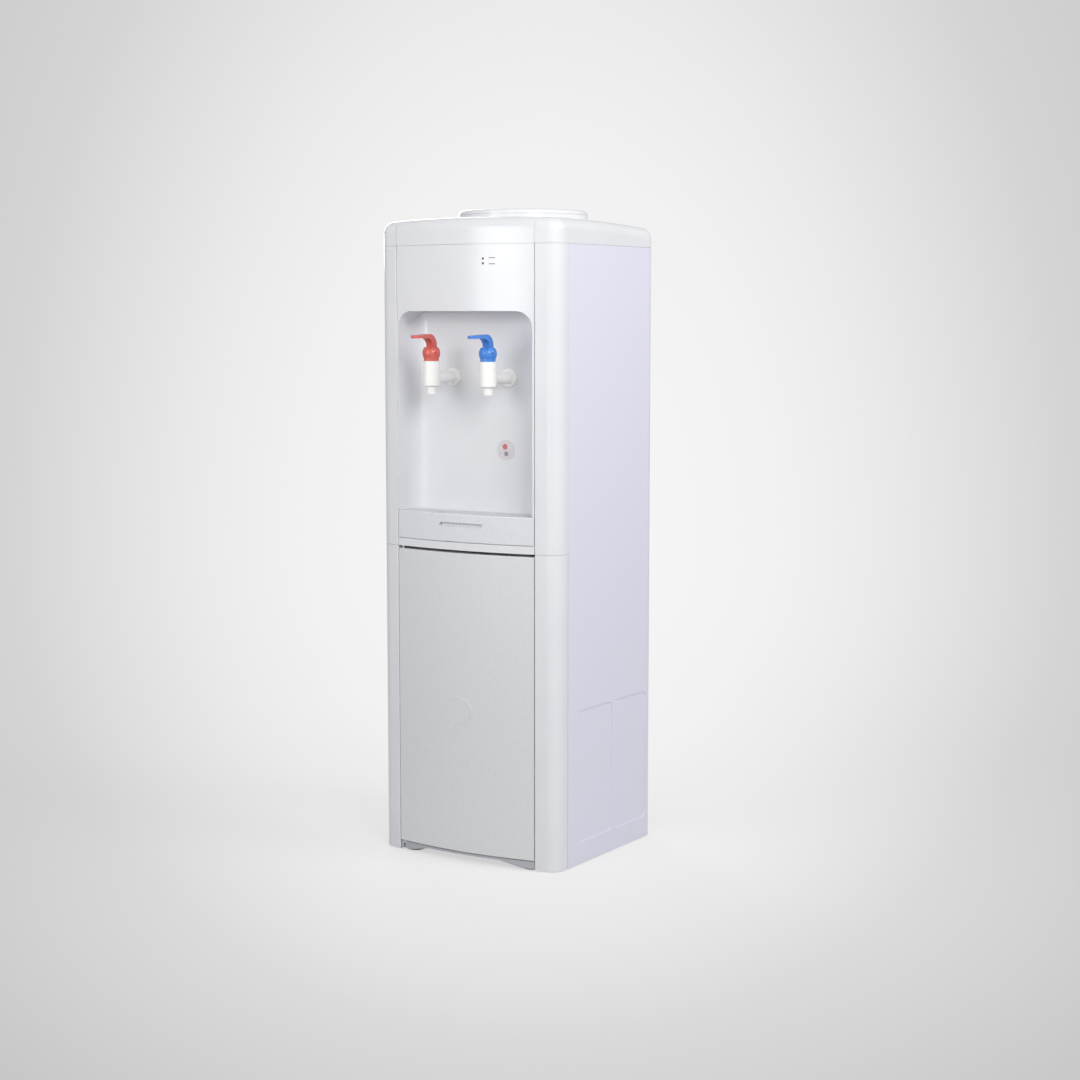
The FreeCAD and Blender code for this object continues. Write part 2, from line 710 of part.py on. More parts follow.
def basin_prism(shrink, z0, z1):
    half = bay_half - tray_side_clearance - shrink
    back = bay_back_y - tray_side_clearance - shrink
    prism = box(-half, half, -front_bulge, back, z0, z1)
    corner = bay_corner_radius - shrink
    upright = box(-half - 1, half + 1, back - 1, back + 1, z0 - 1, z1 + 1)
    prism = round_edges(prism, corner, V(0, 0, 1), upright)
    return prism.common(plan(tray_front_wall - 1.0 + shrink, z0, z1))


rim_top_z = tray_z1 - grille_thickness - 0.8
basin = basin_prism(0, tray_z0 + 1.0, rim_top_z)
grip_z = tray_z1 - grip_drop
backing = plan(0, grip_z - grip_height, grip_z + grip_height)
backing = backing.cut(plan(grip_depth + tray_wall, grip_z - grip_height, grip_z + grip_height))
backing = backing.common(box(
    -grip_width / 2 - 4, grip_width / 2 + 4, -front_bulge, 0, grip_z - grip_height, grip_z + grip_height
))
tray = join(face, basin)
tray = tray.cut(basin_prism(tray_wall, tray_z0 + 1.0 + tray_floor, tray_z1))
tray = tray.fuse(backing)
slot = box(
    -grip_width / 2, grip_width / 2, -front_bulge - 1.0, 0,
    grip_z - grip_height / 2, grip_z + grip_height / 2,
)
slot = round_edges(slot, grip_height / 2 - 0.05, V(0, 1, 0))
slot = slot.cut(plan(grip_depth, grip_z - grip_height, grip_z + grip_height))
tray = tray.cut(slot).removeSplitter()
pieces["drip_tray"] = tray

# Slotted grille that lies on the tray's rim.
grille_z0 = rim_top_z + gap
grille = basin_prism(0.3, grille_z0, grille_z0 + grille_thickness)
grille = grille.common(plan(tray_front_wall + seam_gap, grille_z0, grille_z0 + grille_thickness))
slot_length = (2 * bay_half - 2 * grille_margin - (slot_columns - 1) * slot_bridge) / slot_columns
slot_row_y = front_y(bay_half) + grille_margin / 2
while slot_row_y + grille_slot < bay_back_y - grille_margin / 2:
    for column in range(slot_columns):
        x = (column - (slot_columns - 1) / 2) * (slot_length + slot_bridge)
        opening = box(
            x - slot_length / 2, x + slot_length / 2, slot_row_y, slot_row_y + grille_slot,
            grille_z0, grille_z0 + grille_thickness,
        )
        grille = grille.cut(round_edges(opening, grille_slot / 2 - 0.05, V(0, 0, 1)))
    slot_row_y = slot_row_y + grille_pitch
pieces["drip_grille"] = grille

# -------------------------------------------------------------------- taps
# White body with stem and nozzle, coloured bonnet and lever, a rod with a
# seal on the seat, and a spring that holds the seal down.
body_top_z = tap_stem_z + tap_top
body_bottom_z = tap_stem_z - tap_bottom
seat_z = tap_stem_z - 6.5
bonnet_z = body_top_z + gap
ball_z = bonnet_z + ball_rise
bonnet_top_z = bonnet_z + ball_flat
boss_z = body_top_z - 8.5
pin_z = bonnet_z + pin_rise
collar_z = seat_z + 7.0
collar_height = 2.5
head_z = pin_z - 0.7
lever_top_z = bonnet_z + lever_height


def tap(name, x):
    axis_low = V(x, tap_y, 0)

    def up(z):
        return axis_low + V(0, 0, z)

    body = rod(tap_radius, up(body_bottom_z), up(body_top_z))
    low_rims = [edge for edge in body.Edges if abs(edge.CenterOfMass.z - body_bottom_z) < 0.1]
    body = body.makeFillet(2.0, low_rims)
    nozzle = Part.makeCone(
        nozzle_radius - 1.0, nozzle_radius, nozzle_length + 1.0, up(body_bottom_z - nozzle_length), V(0, 0, 1)
    )
    stem = rod(stem_radius, V(x, tap_y, tap_stem_z), V(x, bay_back_y + stem_tail, tap_stem_z))
    flange = rod(
        flange_radius, V(x, bay_back_y - gap - flange_thickness, tap_stem_z), V(x, bay_back_y - gap, tap_stem_z)
    )
    body = join(body, nozzle, stem, flange)
    body = body.cut(rod(chamber_radius, up(seat_z), up(body_top_z)))
    body = body.cut(rod(nozzle_bore, up(body_bottom_z - nozzle_length), up(seat_z)))
    body = body.cut(rod(stem_bore, V(x, tap_y, tap_stem_z), V(x, bay_back_y + stem_tail, tap_stem_z)))
    pieces[name + "_tap_body"] = body

    ball = Part.makeSphere(ball_radius, up(ball_z))
    ball = ball.common(rod(2 * ball_radius, up(bonnet_z), up(bonnet_top_z)))
    foot = rod(ball_foot_radius, up(bonnet_z), up(bonnet_z + ball_foot_height))
    boss = rod(chamber_radius - gap, up(boss_z), up(bonnet_z))
    bonnet = join(ball, foot, boss)
    cavity = box(
        x - slot_half, x + slot_half, tap_y - pin_forward - hub_radius - lever_play, tap_y + neck_rear + 2.0,
        pin_z - hub_radius - 1.5, bonnet_top_z,
    )
    bonnet = bonnet.cut(cavity)
    bonnet = bonnet.cut(rod(rod_radius + running, up(boss_z), up(bonnet_top_z)))
    pin_y = tap_y - pin_forward
    pin_half = math.sqrt(ball_radius ** 2 - pin_forward ** 2) - 1.0
    pin = rod(pin_radius, V(x - pin_half, pin_y, pin_z), V(x + pin_half, pin_y, pin_z))
    bonnet = bonnet.cut(rod(
        pin_radius + running, V(x - ball_radius, pin_y, pin_z), V(x + ball_radius, pin_y, pin_z)
    ))
    pieces[name + "_tap_bonnet"] = bonnet

    seal = rod(chamber_radius - 0.8, up(seat_z + gap), up(collar_z))
    collar = rod(chamber_radius - 1.2, up(collar_z), up(collar_z + collar_height))
    shank = rod(rod_radius, up(collar_z + collar_height), up(head_z))
    head = rod(rod_head_radius, up(head_z), up(head_z + rod_head))
    pieces[name + "_tap_plunger"] = join(seal, collar, shank, head)
    spring_foot = up(collar_z + collar_height + gap)
    spring = tube(chamber_radius - 2.0, rod_radius + 0.6, spring_foot, up(boss_z - gap))

    # The lever's side view, then its plan view, then the pocket for the rod.
    half = slot_half - lever_play
    rear_y = tap_y + neck_rear
    neck_y = tap_y - neck_front
    tip_y = tap_y - lever_tip
    under_z = lever_top_z - lever_thickness
    hub_low_z = pin_z - hub_radius
    inner_bend = lever_bend - neck_front - neck_rear + lever_thickness
    tip_round = tip_thickness / 2
    tip_drop = 2.0
    corner_part = 1 - math.sqrt(0.5)

    def side(y, z):
        return V(x - paddle_half, y, z)

    neck_top = side(rear_y, lever_top_z - lever_bend)
    outer_mid = side(rear_y - lever_bend * corner_part, lever_top_z - lever_bend * corner_part)
    outer_end = side(rear_y - lever_bend, lever_top_z)
    tip_top = side(tip_y + tip_round, lever_top_z - tip_drop)
    tip_front = side(tip_y, lever_top_z - tip_drop - tip_round)
    tip_under = side(tip_y + tip_round, lever_top_z - tip_drop - tip_thickness)
    inner_end = side(neck_y - inner_bend, under_z)
    inner_mid = side(neck_y - inner_bend * corner_part, under_z - inner_bend * corner_part)
    inner_start = side(neck_y, under_z - inner_bend)
    hub_front = side(pin_y - hub_radius, pin_z)
    profile = extruded([
        line(side(rear_y, hub_low_z), neck_top),
        arc(neck_top, outer_mid, outer_end),
        line(outer_end, tip_top),
        arc(tip_top, tip_front, tip_under),
        line(tip_under, inner_end),
        arc(inner_end, inner_mid, inner_start),
        line(inner_start, side(neck_y, pin_z + hub_radius)),
        line(side(neck_y, pin_z + hub_radius), side(pin_y, pin_z + hub_radius)),
        arc(side(pin_y, pin_z + hub_radius), hub_front, side(pin_y, hub_low_z)),
        line(side(pin_y, hub_low_z), side(rear_y, hub_low_z)),
    ], V(2 * paddle_half, 0, 0))

    def top(across, y):
        return V(x + across, y, hub_low_z - 1.0)

    shoulder_y = tap_y - 16.0
    wide_y = tap_y - 28.0
    round_y = tip_y + paddle_half
    plan_view = extruded([
        line(top(-half, rear_y), top(half, rear_y)),
        line(top(half, rear_y), top(half, shoulder_y)),
        line(top(half, shoulder_y), top(paddle_half, wide_y)),
        line(top(paddle_half, wide_y), top(paddle_half, round_y)),
        arc(top(paddle_half, round_y), top(0, tip_y), top(-paddle_half, round_y)),
        line(top(-paddle_half, round_y), top(-paddle_half, wide_y)),
        line(top(-paddle_half, wide_y), top(-half, shoulder_y)),
        line(top(-half, shoulder_y), top(-half, rear_y)),
    ], V(0, 0, lever_top_z - hub_low_z + 2.0))
    lever = profile.common(plan_view)
    pocket_y = tap_y - rod_head_radius - 0.2
    neck_half = rod_radius + 0.4
    lean = 1.2
    slot_corners = [
        V(x - neck_half, pocket_y - lean, hub_low_z), V(x - neck_half, pocket_y, head_z),
        V(x - neck_half, rear_y, head_z), V(x - neck_half, rear_y, hub_low_z),
    ]
    neck_slot = Part.Face(Part.makePolygon(slot_corners + [slot_corners[0]])).extrude(V(2 * neck_half, 0, 0))
    head_half = rod_head_radius + 0.8
    head_slot = box(x - head_half, x + head_half, pocket_y, rear_y, head_z - lever_lost, pin_z + 3.5)
    lever = lever.cut(neck_slot).cut(head_slot)
    lever = lever.cut(rod(
        pin_radius + running, V(x - half, pin_y, pin_z), V(x + half, pin_y, pin_z)
    ))
    pieces[name + "_tap_lever"] = lever
    nut_y = bay_back_y + bay_wall + gap
    nut_corners = []
    for step in range(6):
        angle = math.radians(60 * step)
        nut_corners.append(V(x + nut_radius * math.cos(angle), nut_y, tap_stem_z + nut_radius * math.sin(angle)))
    nut = Part.Face(Part.makePolygon(nut_corners + [nut_corners[0]])).extrude(V(0, nut_thickness, 0))
    nut = nut.cut(rod(stem_radius + gap, V(x, nut_y, tap_stem_z), V(x, nut_y + nut_thickness, tap_stem_z)))
    return pin, nut, spring


hot_pin, hot_nut, hot_spring = tap("hot", -tap_x)
cold_pin, cold_nut, cold_spring = tap("cold", tap_x)
pieces["tap_springs"] = Part.makeCompound([hot_spring, cold_spring])
pieces["tap_lever_pins"] = Part.makeCompound([hot_pin, cold_pin])
pieces["tap_locknuts"] = Part.makeCompound([hot_nut, cold_nut])

# ------------------------------------------------------------ cupboard door
# Bowed outer moulding with a blank oval boss, closed by an inner panel.
door_half = panel_half - door_edge
door_top_z = seam_z - door_top_gap
door_zone = box(-door_half, door_half, -front_bulge, door_back_y, door_bottom_z, door_top_z)
door = round_front(plan(0, door_bottom_z, door_top_z).common(door_zone), edge_round)
hollow = plan(door_wall, door_bottom_z + door_wall, door_top_z - door_wall)
hollow = hollow.common(box(
    -door_half + door_wall, door_half - door_wall, -front_bulge, door_back_y,
    door_bottom_z + door_wall, door_top_z - door_wall,
))
door = door.cut(hollow)


def oval_at(half_width, half_height, inset):
    """The part of the bowed front, moved inwards by inset, inside an oval."""
    edge = Part.Ellipse(V(0, 0, 0), half_width, half_height).toShape()
    prism = Part.Face(Part.Wire(edge)).extrude(V(0, 0, front_bulge))
    prism.rotate(V(0, 0, 0), V(1, 0, 0), 90)
    prism.translate(V(emblem_x, -front_bulge / 2, emblem_z))
    layer = plan(inset, door_bottom_z, door_top_z).cut(plan(door_wall / 2, door_bottom_z, door_top_z))
    return prism.common(layer)


emblem = oval_at(emblem_half_width, emblem_half_height, -emblem_rise)
dish = oval_at(emblem_half_width - emblem_rim, emblem_half_height - emblem_rim, -emblem_rise)
dish = dish.cut(oval_at(emblem_half_width, emblem_half_height, -emblem_rise / 3))
door = door.fuse(emblem).cut(dish)
inner_door = box(
    -door_half + door_wall + gap, door_half - door_wall - gap, door_back_y - door_wall, door_back_y,
    door_bottom_z + door_wall + gap, door_top_z - door_wall - gap,
)
pin_zone_low = V(hinge_x, hinge_y, 0)


def hinge_at(radius, z0, z1):
    return rod(radius, pin_zone_low + V(0, 0, z0), pin_zone_low + V(0, 0, z1))


lower_pin = hinge_at(hinge_pin_radius, plinth_z, deck_top_z + hinge_pin_reach)
upper_pin = hinge_at(hinge_pin_radius, seam_z - hinge_pin_reach, rail_bottom_z + wall)
holes = hinge_at(hinge_pin_radius + running, 0, cover_seam_z)
boss_low = hinge_at(hinge_pin_radius + wall, door_bottom_z + 1.0, deck_top_z + hinge_pin_reach)
boss_high = hinge_at(hinge_pin_radius + wall, seam_z - hinge_pin_reach, door_top_z - 1.0)
bosses = boss_low.fuse(boss_high).common(plan(1.0, door_bottom_z, door_top_z))
door = door.fuse(bosses.common(door_zone)).removeSplitter().cut(holes)
pieces["door_panel"] = door
pieces["door_inner_panel"] = inner_door
pieces["door_hinge_pins"] = Part.makeCompound([lower_pin, upper_pin])
base = base.cut(holes)
front = front.cut(hinge_at(hinge_pin_radius + running, 0, rail_bottom_z + wall + 1.0))
pieces["base_plinth"] = base
pieces["upper_front_panel"] = front

# Magnet catch under the rail, and its plate on the door.
plate_thickness = 1.0
catch_front_y = door_back_y + plate_thickness + 0.5
catch_x1 = panel_half - catch_inset
catch_x0 = catch_x1 - catch_width
magnet = box(
    catch_x0, catch_x1, catch_front_y, catch_front_y + catch_depth,
    rail_bottom_z - gap - catch_height, rail_bottom_z - gap,
)
pieces["magnet_catch"] = round_edges(magnet, 1.5, V(0, 0, 1))
plate = box(
    catch_x0 + 2, catch_x1 - 2, door_back_y, door_back_y + plate_thickness,
    door_top_z - door_wall - catch_height, door_top_z - door_wall - 1.0,
)
pieces["striker_plate"] = plate

# ---------------------------------------------------------- cupboard liner
liner = box(-liner_half, liner_half, liner_front_y, liner_back_y, deck_top_z + gap, liner_top_z)
liner = round_edges(liner, 12.0, V(0, 1, 0))
inside = box(
    -liner_half + liner_wall, liner_half - liner_wall, liner_front_y, liner_back_y - liner_wall,
    deck_top_z + gap + liner_wall, liner_top_z - liner_wall,
)
inside = round_edges(inside, 10.0, V(0, 1, 0))
lip = box(
    -liner_flange_half, liner_flange_half, liner_front_y, liner_front_y + liner_wall,
    deck_top_z + gap, liner_top_z,
)
pieces["cupboard_liner"] = join(liner, lip).cut(inside)

# ------------------------------------------------- cold tank and its foam
def level(z):
    return V(0, seat_y, z)


tank = rod(tank_radius, level(tank_bottom_z), level(tank_top_z))
tank = tank.cut(rod(tank_radius - tank_wall, level(tank_bottom_z + tank_wall), level(tank_top_z - tank_wall)))
tank = tank.cut(rod(tank_mouth, level(tank_top_z - tank_wall), level(tank_top_z)))
outlet = V(tap_x, seat_y - 28.0, 0)
feed = V(0, seat_y + 27.0, 0)
stub_outer = hose_inner - 0.1
for spot in [outlet, feed]:
    stub_end = spot + V(0, 0, tank_bottom_z - stub_length)
    stub_root = spot + V(0, 0, tank_bottom_z + tank_wall)
    stub = rod(stub_outer, stub_end, stub_root)
    bore = rod(stub_outer - stub_wall, stub_end, stub_root)
    tank = tank.fuse(stub).cut(bore)
pieces["cold_tank"] = tank
gasket_top_z = tank_top_z + gap + 5.0
gasket = tube(tank_mouth + 5.0, neck_outer + seam_gap, level(tank_top_z + gap), level(gasket_top_z))
pieces["seat_gasket"] = gasket
baffle_z = tank_bottom_z + 60.0
baffle = rod(tank_radius - tank_wall - 1.0, level(baffle_z), level(baffle_z + 2.0))
baffle = baffle.cut(rod(6.0, level(baffle_z), level(baffle_z + 2.0)))
for sign in [-1, 1]:
    leg = rod(4.0, V(sign * 35.0, seat_y, tank_bottom_z + tank_wall + gap), V(sign * 35.0, seat_y, baffle_z))
    baffle = baffle.fuse(leg)
pieces["tank_baffle"] = baffle
coil_radius = tank_radius + gap + coil_tube
coil_height = coil_turns * (2 * coil_tube + 2.0)
coil = tube(
    coil_radius + coil_tube, coil_radius - coil_tube, level(coil_bottom_z), level(coil_bottom_z + coil_height)
)
pieces["evaporator_coil"] = coil
foam_z0 = platform_z + platform_sheet + gap
foam_z1 = tank_top_z + 8.0
foam = rod(foam_radius, level(foam_z0), level(foam_z1))
foam = foam.cut(rod(tank_radius + gap, level(tank_bottom_z - gap), level(foam_z1)))
coil_room = rod(
    coil_radius + coil_tube + gap, level(coil_bottom_z - 2.0), level(coil_bottom_z + coil_height + 2.0)
)
foam = foam.cut(coil_room)
for spot in [outlet, feed]:
    foam = foam.cut(rod(hose_outer + 1.0, spot + V(0, 0, foam_z0), spot + V(0, 0, tank_bottom_z)))
half_gap = seam_gap / 2
front_half_zone = box(-foam_radius, foam_radius, seat_y - foam_radius, seat_y - half_gap, foam_z0, foam_z1)
rear_half_zone = box(-foam_radius, foam_radius, seat_y + half_gap, seat_y + foam_radius, foam_z0, foam_z1)
front_foam = foam.common(front_half_zone)
rear_foam = foam.common(rear_half_zone)
pieces["cold_tank_foam"] = Part.makeCompound([front_foam, rear_foam])

# Sheet platforms for the two tanks, with folded edges at the side panels.
shelf_half = cabinet_half - sheet - gap
shelf_y0 = bay_back_y + bay_wall + 8.0
shelf_y1 = panel_y0 - screw_tail - gap


def platform(z, holes_cut):
    plate_solid = box(-shelf_half, shelf_half, shelf_y0, shelf_y1, z, z + platform_sheet)
    clear = plan(sheet + gap, z, z + platform_sheet)
    plate_solid = plate_solid.common(clear)
    for sign in [-1, 1]:
        x0 = min(sign * shelf_half, sign * (shelf_half - platform_sheet))
        fold = box(x0, x0 + platform_sheet, shelf_y0, side_depth - rear_corner_radius, z - 15.0, z)
        plate_solid = plate_solid.fuse(fold)
    for hole_solid in holes_cut:
        plate_solid = plate_solid.cut(hole_solid)
    return plate_solid.removeSplitter()


def hole_at(spot, radius, z):
    return rod(radius, spot + V(0, 0, z - 1), spot + V(0, 0, z + platform_sheet + 1))


suction = V(suction_x, suction_y, 0)
riser = V(riser_x, riser_y, 0)
line_holes = [hole_at(spot, line_hole, z) for spot in [suction, riser] for z in [platform_z, mid_shelf_z]]
hose_holes = [hole_at(spot, hose_outer + 2.0, platform_z) for spot in [outlet, feed]]
upper_platform = platform(platform_z, line_holes + hose_holes)
lower_platform = platform(mid_shelf_z, line_holes)
pieces["tank_platforms"] = Part.makeCompound([upper_platform, lower_platform])

# ---------------------------------------------------------------- hot tank
def hot_level(z):
    return V(0, hot_y, z)


hot_tank = rod(hot_radius, hot_level(hot_bottom_z), hot_level(hot_top_z))
hot_tank = hot_tank.cut(rod(
    hot_radius - tank_wall, hot_level(hot_bottom_z + tank_wall), hot_level(hot_top_z - tank_wall)
))
hot_outlet = V(-30.0, hot_y - 12.0, 0)
drain_start = V(0, hot_y + 20.0, 0)
for spot, z0, z1 in [
    (hot_outlet, hot_top_z - tank_wall, hot_top_z + stub_length),
    (feed, hot_top_z - tank_wall, hot_top_z + stub_length),
    (drain_start, hot_bottom_z - stub_length, hot_bottom_z + tank_wall),
]:
    hot_tank = hot_tank.fuse(rod(stub_outer, spot + V(0, 0, z0), spot + V(0, 0, z1)))
    hot_tank = hot_tank.cut(rod(stub_outer - stub_wall, spot + V(0, 0, z0), spot + V(0, 0, z1)))
pieces["hot_tank"] = hot_tank
pieces["heater_band"] = tube(
    hot_radius + band_thickness, hot_radius + gap, hot_level(band_z), hot_level(band_z + band_height)
)
discs = []
for x in [12.0, 34.0]:
    spot = V(x, hot_y - 18.0, 0)
    disc = rod(8.0, spot + V(0, 0, hot_top_z + gap), spot + V(0, 0, hot_top_z + 6.0))
    cap_disc = rod(5.0, spot + V(0, 0, hot_top_z + 6.0), spot + V(0, 0, hot_top_z + 10.0))
    discs.append(join(disc, cap_disc))
pieces["hot_thermostats"] = Part.makeCompound(discs)
drain_path = [
    drain_start + V(0, 0, hot_bottom_z - 2.0),
    drain_start + V(0, 0, drain_z),
    V(controls_x, drain_start.y + 55.0, drain_z),
    V(controls_x, side_depth + 12.0, drain_z),
]
hot_foam_z0 = mid_shelf_z + platform_sheet + gap
hot_foam = rod(hot_foam_radius, hot_level(hot_foam_z0), hot_level(hot_top_z - 4.0))
hot_foam = hot_foam.cut(rod(hot_radius + band_thickness + gap, hot_level(hot_bottom_z - gap), hot_level(hot_top_z)))
hot_foam = hot_foam.cut(pipe(drain_path, hose_outer + 1.0, 0))
hot_foam = hot_foam.cut(rod(
    hose_outer + 1.0, drain_start + V(0, 0, drain_z), drain_start + V(0, 0, hot_bottom_z)
))
pieces["hot_tank_foam"] = hot_foam

# ------------------------------------------------------------------- hoses
tail_end_y = bay_back_y + stem_tail + gap
cold_hose = pipe([
    outlet + V(0, 0, tank_bottom_z - 2.0), V(outlet.x, outlet.y, tap_stem_z), V(tap_x, tail_end_y, tap_stem_z),
], hose_outer, hose_inner)
hot_hose = pipe([
    hot_outlet + V(0, 0, hot_top_z + 2.0),
    hot_outlet + V(0, 0, hot_top_z + 38.0),
    V(-tap_x, hot_outlet.y - 26.0, tap_stem_z),
    V(-tap_x, tail_end_y, tap_stem_z),
], hose_outer, hose_inner)
feed_hose = tube(
    hose_outer, hose_inner, feed + V(0, 0, hot_top_z + 2.0), feed + V(0, 0, tank_bottom_z - 2.0)
)
pieces["water_hoses"] = Part.makeCompound([cold_hose, hot_hose, feed_hose])
drain_hose = pipe(drain_path, hose_outer, hose_inner)
spout_y0 = side_depth - 6.0
spout_y1 = side_depth + 18.0
spout_collar_y1 = panel_y1 + 3.0
spout = tube(spout_radius, hose_inner, V(controls_x, spout_y0, drain_z), V(controls_x, spout_y1, drain_z))
spout_collar = tube(
    cap_radius, hose_inner, V(controls_x, panel_y1 + gap, drain_z), V(controls_x, spout_collar_y1, drain_z)
)
pieces["drain_pipe"] = join(drain_hose, spout, spout_collar)
rear = rear.cut(rod(spout_radius + gap, V(controls_x, panel_y0, drain_z), V(controls_x, panel_y1, drain_z)))
cap_y0 = spout_collar_y1 + gap
cap_y1 = spout_y1 + 4.0
drain_cap = rod(cap_radius, V(controls_x, cap_y0, drain_z), V(controls_x, cap_y1, drain_z))
drain_cap = drain_cap.cut(rod(
    spout_radius + gap, V(controls_x, cap_y0, drain_z), V(controls_x, spout_y1 + gap, drain_z)
))
for step in range(12):
    angle = math.radians(30 * step)
    x = controls_x + (cap_radius + 0.2) * math.cos(angle)
    z = drain_z + (cap_radius + 0.2) * math.sin(angle)
    drain_cap = drain_cap.cut(rod(1.0, V(x, cap_y0, z), V(x, cap_y1, z)))
pieces["drain_cap"] = drain_cap

# -------------------------------------------------- switches, knob, gland
housings = []
housing_half_x = rocker_half_x + 3.0
housing_half_z = rocker_half_z + 3.5
pivot_half = housing_half_x - 1.0
bezel_y = panel_y1 + gap
for index, z in enumerate(switch_z):
    outer = box(
        controls_x - housing_half_x, controls_x + housing_half_x,
        panel_y0 - 18.0, bezel_y, z - housing_half_z, z + housing_half_z,
    )
    bezel = box(
        controls_x - housing_half_x - 2.0, controls_x + housing_half_x + 2.0,
        bezel_y, bezel_y + 2.0, z - housing_half_z - 2.0, z + housing_half_z + 2.0,
    )
    housing = join(outer, round_edges(bezel, 2.0, V(0, 1, 0)))
    housing = housing.cut(box(
        controls_x - rocker_half_x - gap, controls_x + rocker_half_x + gap,
        bezel_y - 10.0, bezel_y + 2.0, z - rocker_half_z - 1.0, z + rocker_half_z + 1.0,
    ))
    pivot_y = bezel_y - 2.0
    housing = housing.cut(rod(
        rocker_pin + running, V(controls_x - pivot_half, pivot_y, z), V(controls_x + pivot_half, pivot_y, z)
    ))
    housings.append(housing)
    rear = rear.cut(box(
        controls_x - housing_half_x - gap, controls_x + housing_half_x + gap,
        panel_y0, panel_y1, z - housing_half_z - gap, z + housing_half_z + gap,
    ))
    rocker_points = [
        V(controls_x - rocker_half_x, pivot_y - 4.0, z - 3.0),
        V(controls_x - rocker_half_x, pivot_y + 1.0, z - rocker_half_z),
        V(controls_x - rocker_half_x, pivot_y + 5.0, z - rocker_half_z),
        V(controls_x - rocker_half_x, pivot_y + 3.6, z),
        V(controls_x - rocker_half_x, pivot_y + 5.0, z + rocker_half_z),
        V(controls_x - rocker_half_x, pivot_y + 1.0, z + rocker_half_z),
        V(controls_x - rocker_half_x, pivot_y - 4.0, z + 3.0),
    ]
    rocker = Part.Face(Part.makePolygon(rocker_points + [rocker_points[0]]))
    rocker = rocker.extrude(V(2 * rocker_half_x, 0, 0))
    rocker = rocker.fuse(rod(
        rocker_pin, V(controls_x - pivot_half + 0.2, pivot_y, z), V(controls_x + pivot_half - 0.2, pivot_y, z)
    ))
    rocker.rotate(V(controls_x, pivot_y, z), V(1, 0, 0), -rocker_angle)
    pieces[["hot_switch_rocker", "cold_switch_rocker"][index]] = rocker
pieces["switch_housings"] = Part.makeCompound(housings)

shaft_end_y = panel_y0 - 12.0
knob_y0 = panel_y1 + 2.0
knob_y1 = knob_y0 + 12.0
knob = rod(knob_radius, V(controls_x, knob_y0, knob_z), V(controls_x, knob_y1, knob_z))
for step in range(16):
    angle = math.radians(22.5 * step)
    x = controls_x + (knob_radius + 0.3) * math.cos(angle)
    z = knob_z + (knob_radius + 0.3) * math.sin(angle)
    knob = knob.cut(rod(1.1, V(x, knob_y0, z), V(x, knob_y1, z)))
pointer = box(controls_x - 0.6, controls_x + 0.6, knob_y1 - 0.8, knob_y1, knob_z + 2.0, knob_z + knob_radius)
shaft = rod(shaft_radius, V(controls_x, shaft_end_y, knob_z), V(controls_x, knob_y0, knob_z))
knob = knob.cut(pointer).fuse(shaft)
pieces["thermostat_knob"] = knob.removeSplitter()
thermostat = box(
    controls_x - 14.0, controls_x + 14.0, panel_y0 - gap - 22.0, panel_y0 - gap, knob_z - 14.0, knob_z + 14.0
)
thermostat = round_edges(thermostat, 3.0, V(0, 1, 0))
neck = rod(5.0, V(controls_x, panel_y0 - gap, knob_z), V(controls_x, panel_y1 + 1.0, knob_z))
thermostat = thermostat.fuse(neck)
thermostat = thermostat.cut(rod(
    shaft_radius + running, V(controls_x, shaft_end_y - gap, knob_z), V(controls_x, knob_y0, knob_z)
))
pieces["cold_thermostat"] = thermostat
rear = rear.cut(rod(5.0 + gap, V(controls_x, panel_y0, knob_z), V(controls_x, panel_y1, knob_z)))

# Gland for the mains cord, under the controls.
gland_radius = gland_bore + 2.2
gland_flange_y1 = panel_y1 + 4.0
gland_nose = 9.0
gland = join(
    rod(gland_radius + 3.2, V(controls_x, panel_y1 + gap, gland_z), V(controls_x, gland_flange_y1, gland_z)),
    rod(gland_radius, V(controls_x, panel_y0 - 6.0, gland_z), V(controls_x, panel_y1 + gap, gland_z)),
    Part.makeCone(
        gland_radius + 0.7, gland_radius - 0.6, gland_nose, V(controls_x, gland_flange_y1, gland_z), V(0, 1, 0)
    ),
)
gland_end_y = gland_flange_y1 + gland_nose
gland = gland.cut(rod(gland_bore, V(controls_x, panel_y0 - 6.0, gland_z), V(controls_x, gland_end_y, gland_z)))
pieces["cord_gland"] = gland
rear = rear.cut(rod(gland_radius + gap, V(controls_x, panel_y0, gland_z), V(controls_x, panel_y1, gland_z)))

# --------------------------------------------------------------- condenser
# One serpentine tube with steel wires welded to both faces.
edges = []
turn_radius = condenser_pitch / 2
for run in range(condenser_runs):
    z = condenser_z0 + condenser_pitch * run
    from_x, to_x = (condenser_x0, condenser_x1) if run % 2 == 0 else (condenser_x1, condenser_x0)
    edges.append(line(V(from_x, condenser_y, z), V(to_x, condenser_y, z)))
    if run < condenser_runs - 1:
        out = turn_radius if run % 2 == 0 else -turn_radius
        edges.append(arc(
            V(to_x, condenser_y, z), V(to_x + out, condenser_y, z + turn_radius),
            V(to_x, condenser_y, z + condenser_pitch),
        ))
ring = Part.Wire(Part.Circle(V(condenser_x0, condenser_y, condenser_z0), V(1, 0, 0), condenser_tube).toShape())
pieces["condenser_tube"] = Part.Wire(edges).makePipeShell([ring], True, False)
wires = []
wire_count = int((condenser_x1 - condenser_x0) / wire_pitch) + 1
wire_off = condenser_tube + rod_wire + running
for index in range(wire_count):
    x = condenser_x0 + wire_pitch * index
    for sign in [-1, 1]:
        y = condenser_y + sign * wire_off
        wires.append(rod(
            rod_wire, V(x, y, condenser_z0 - wire_overhang), V(x, y, condenser_z1 + wire_overhang)
        ))
pieces["condenser_wires"] = Part.makeCompound(wires)
brackets = []
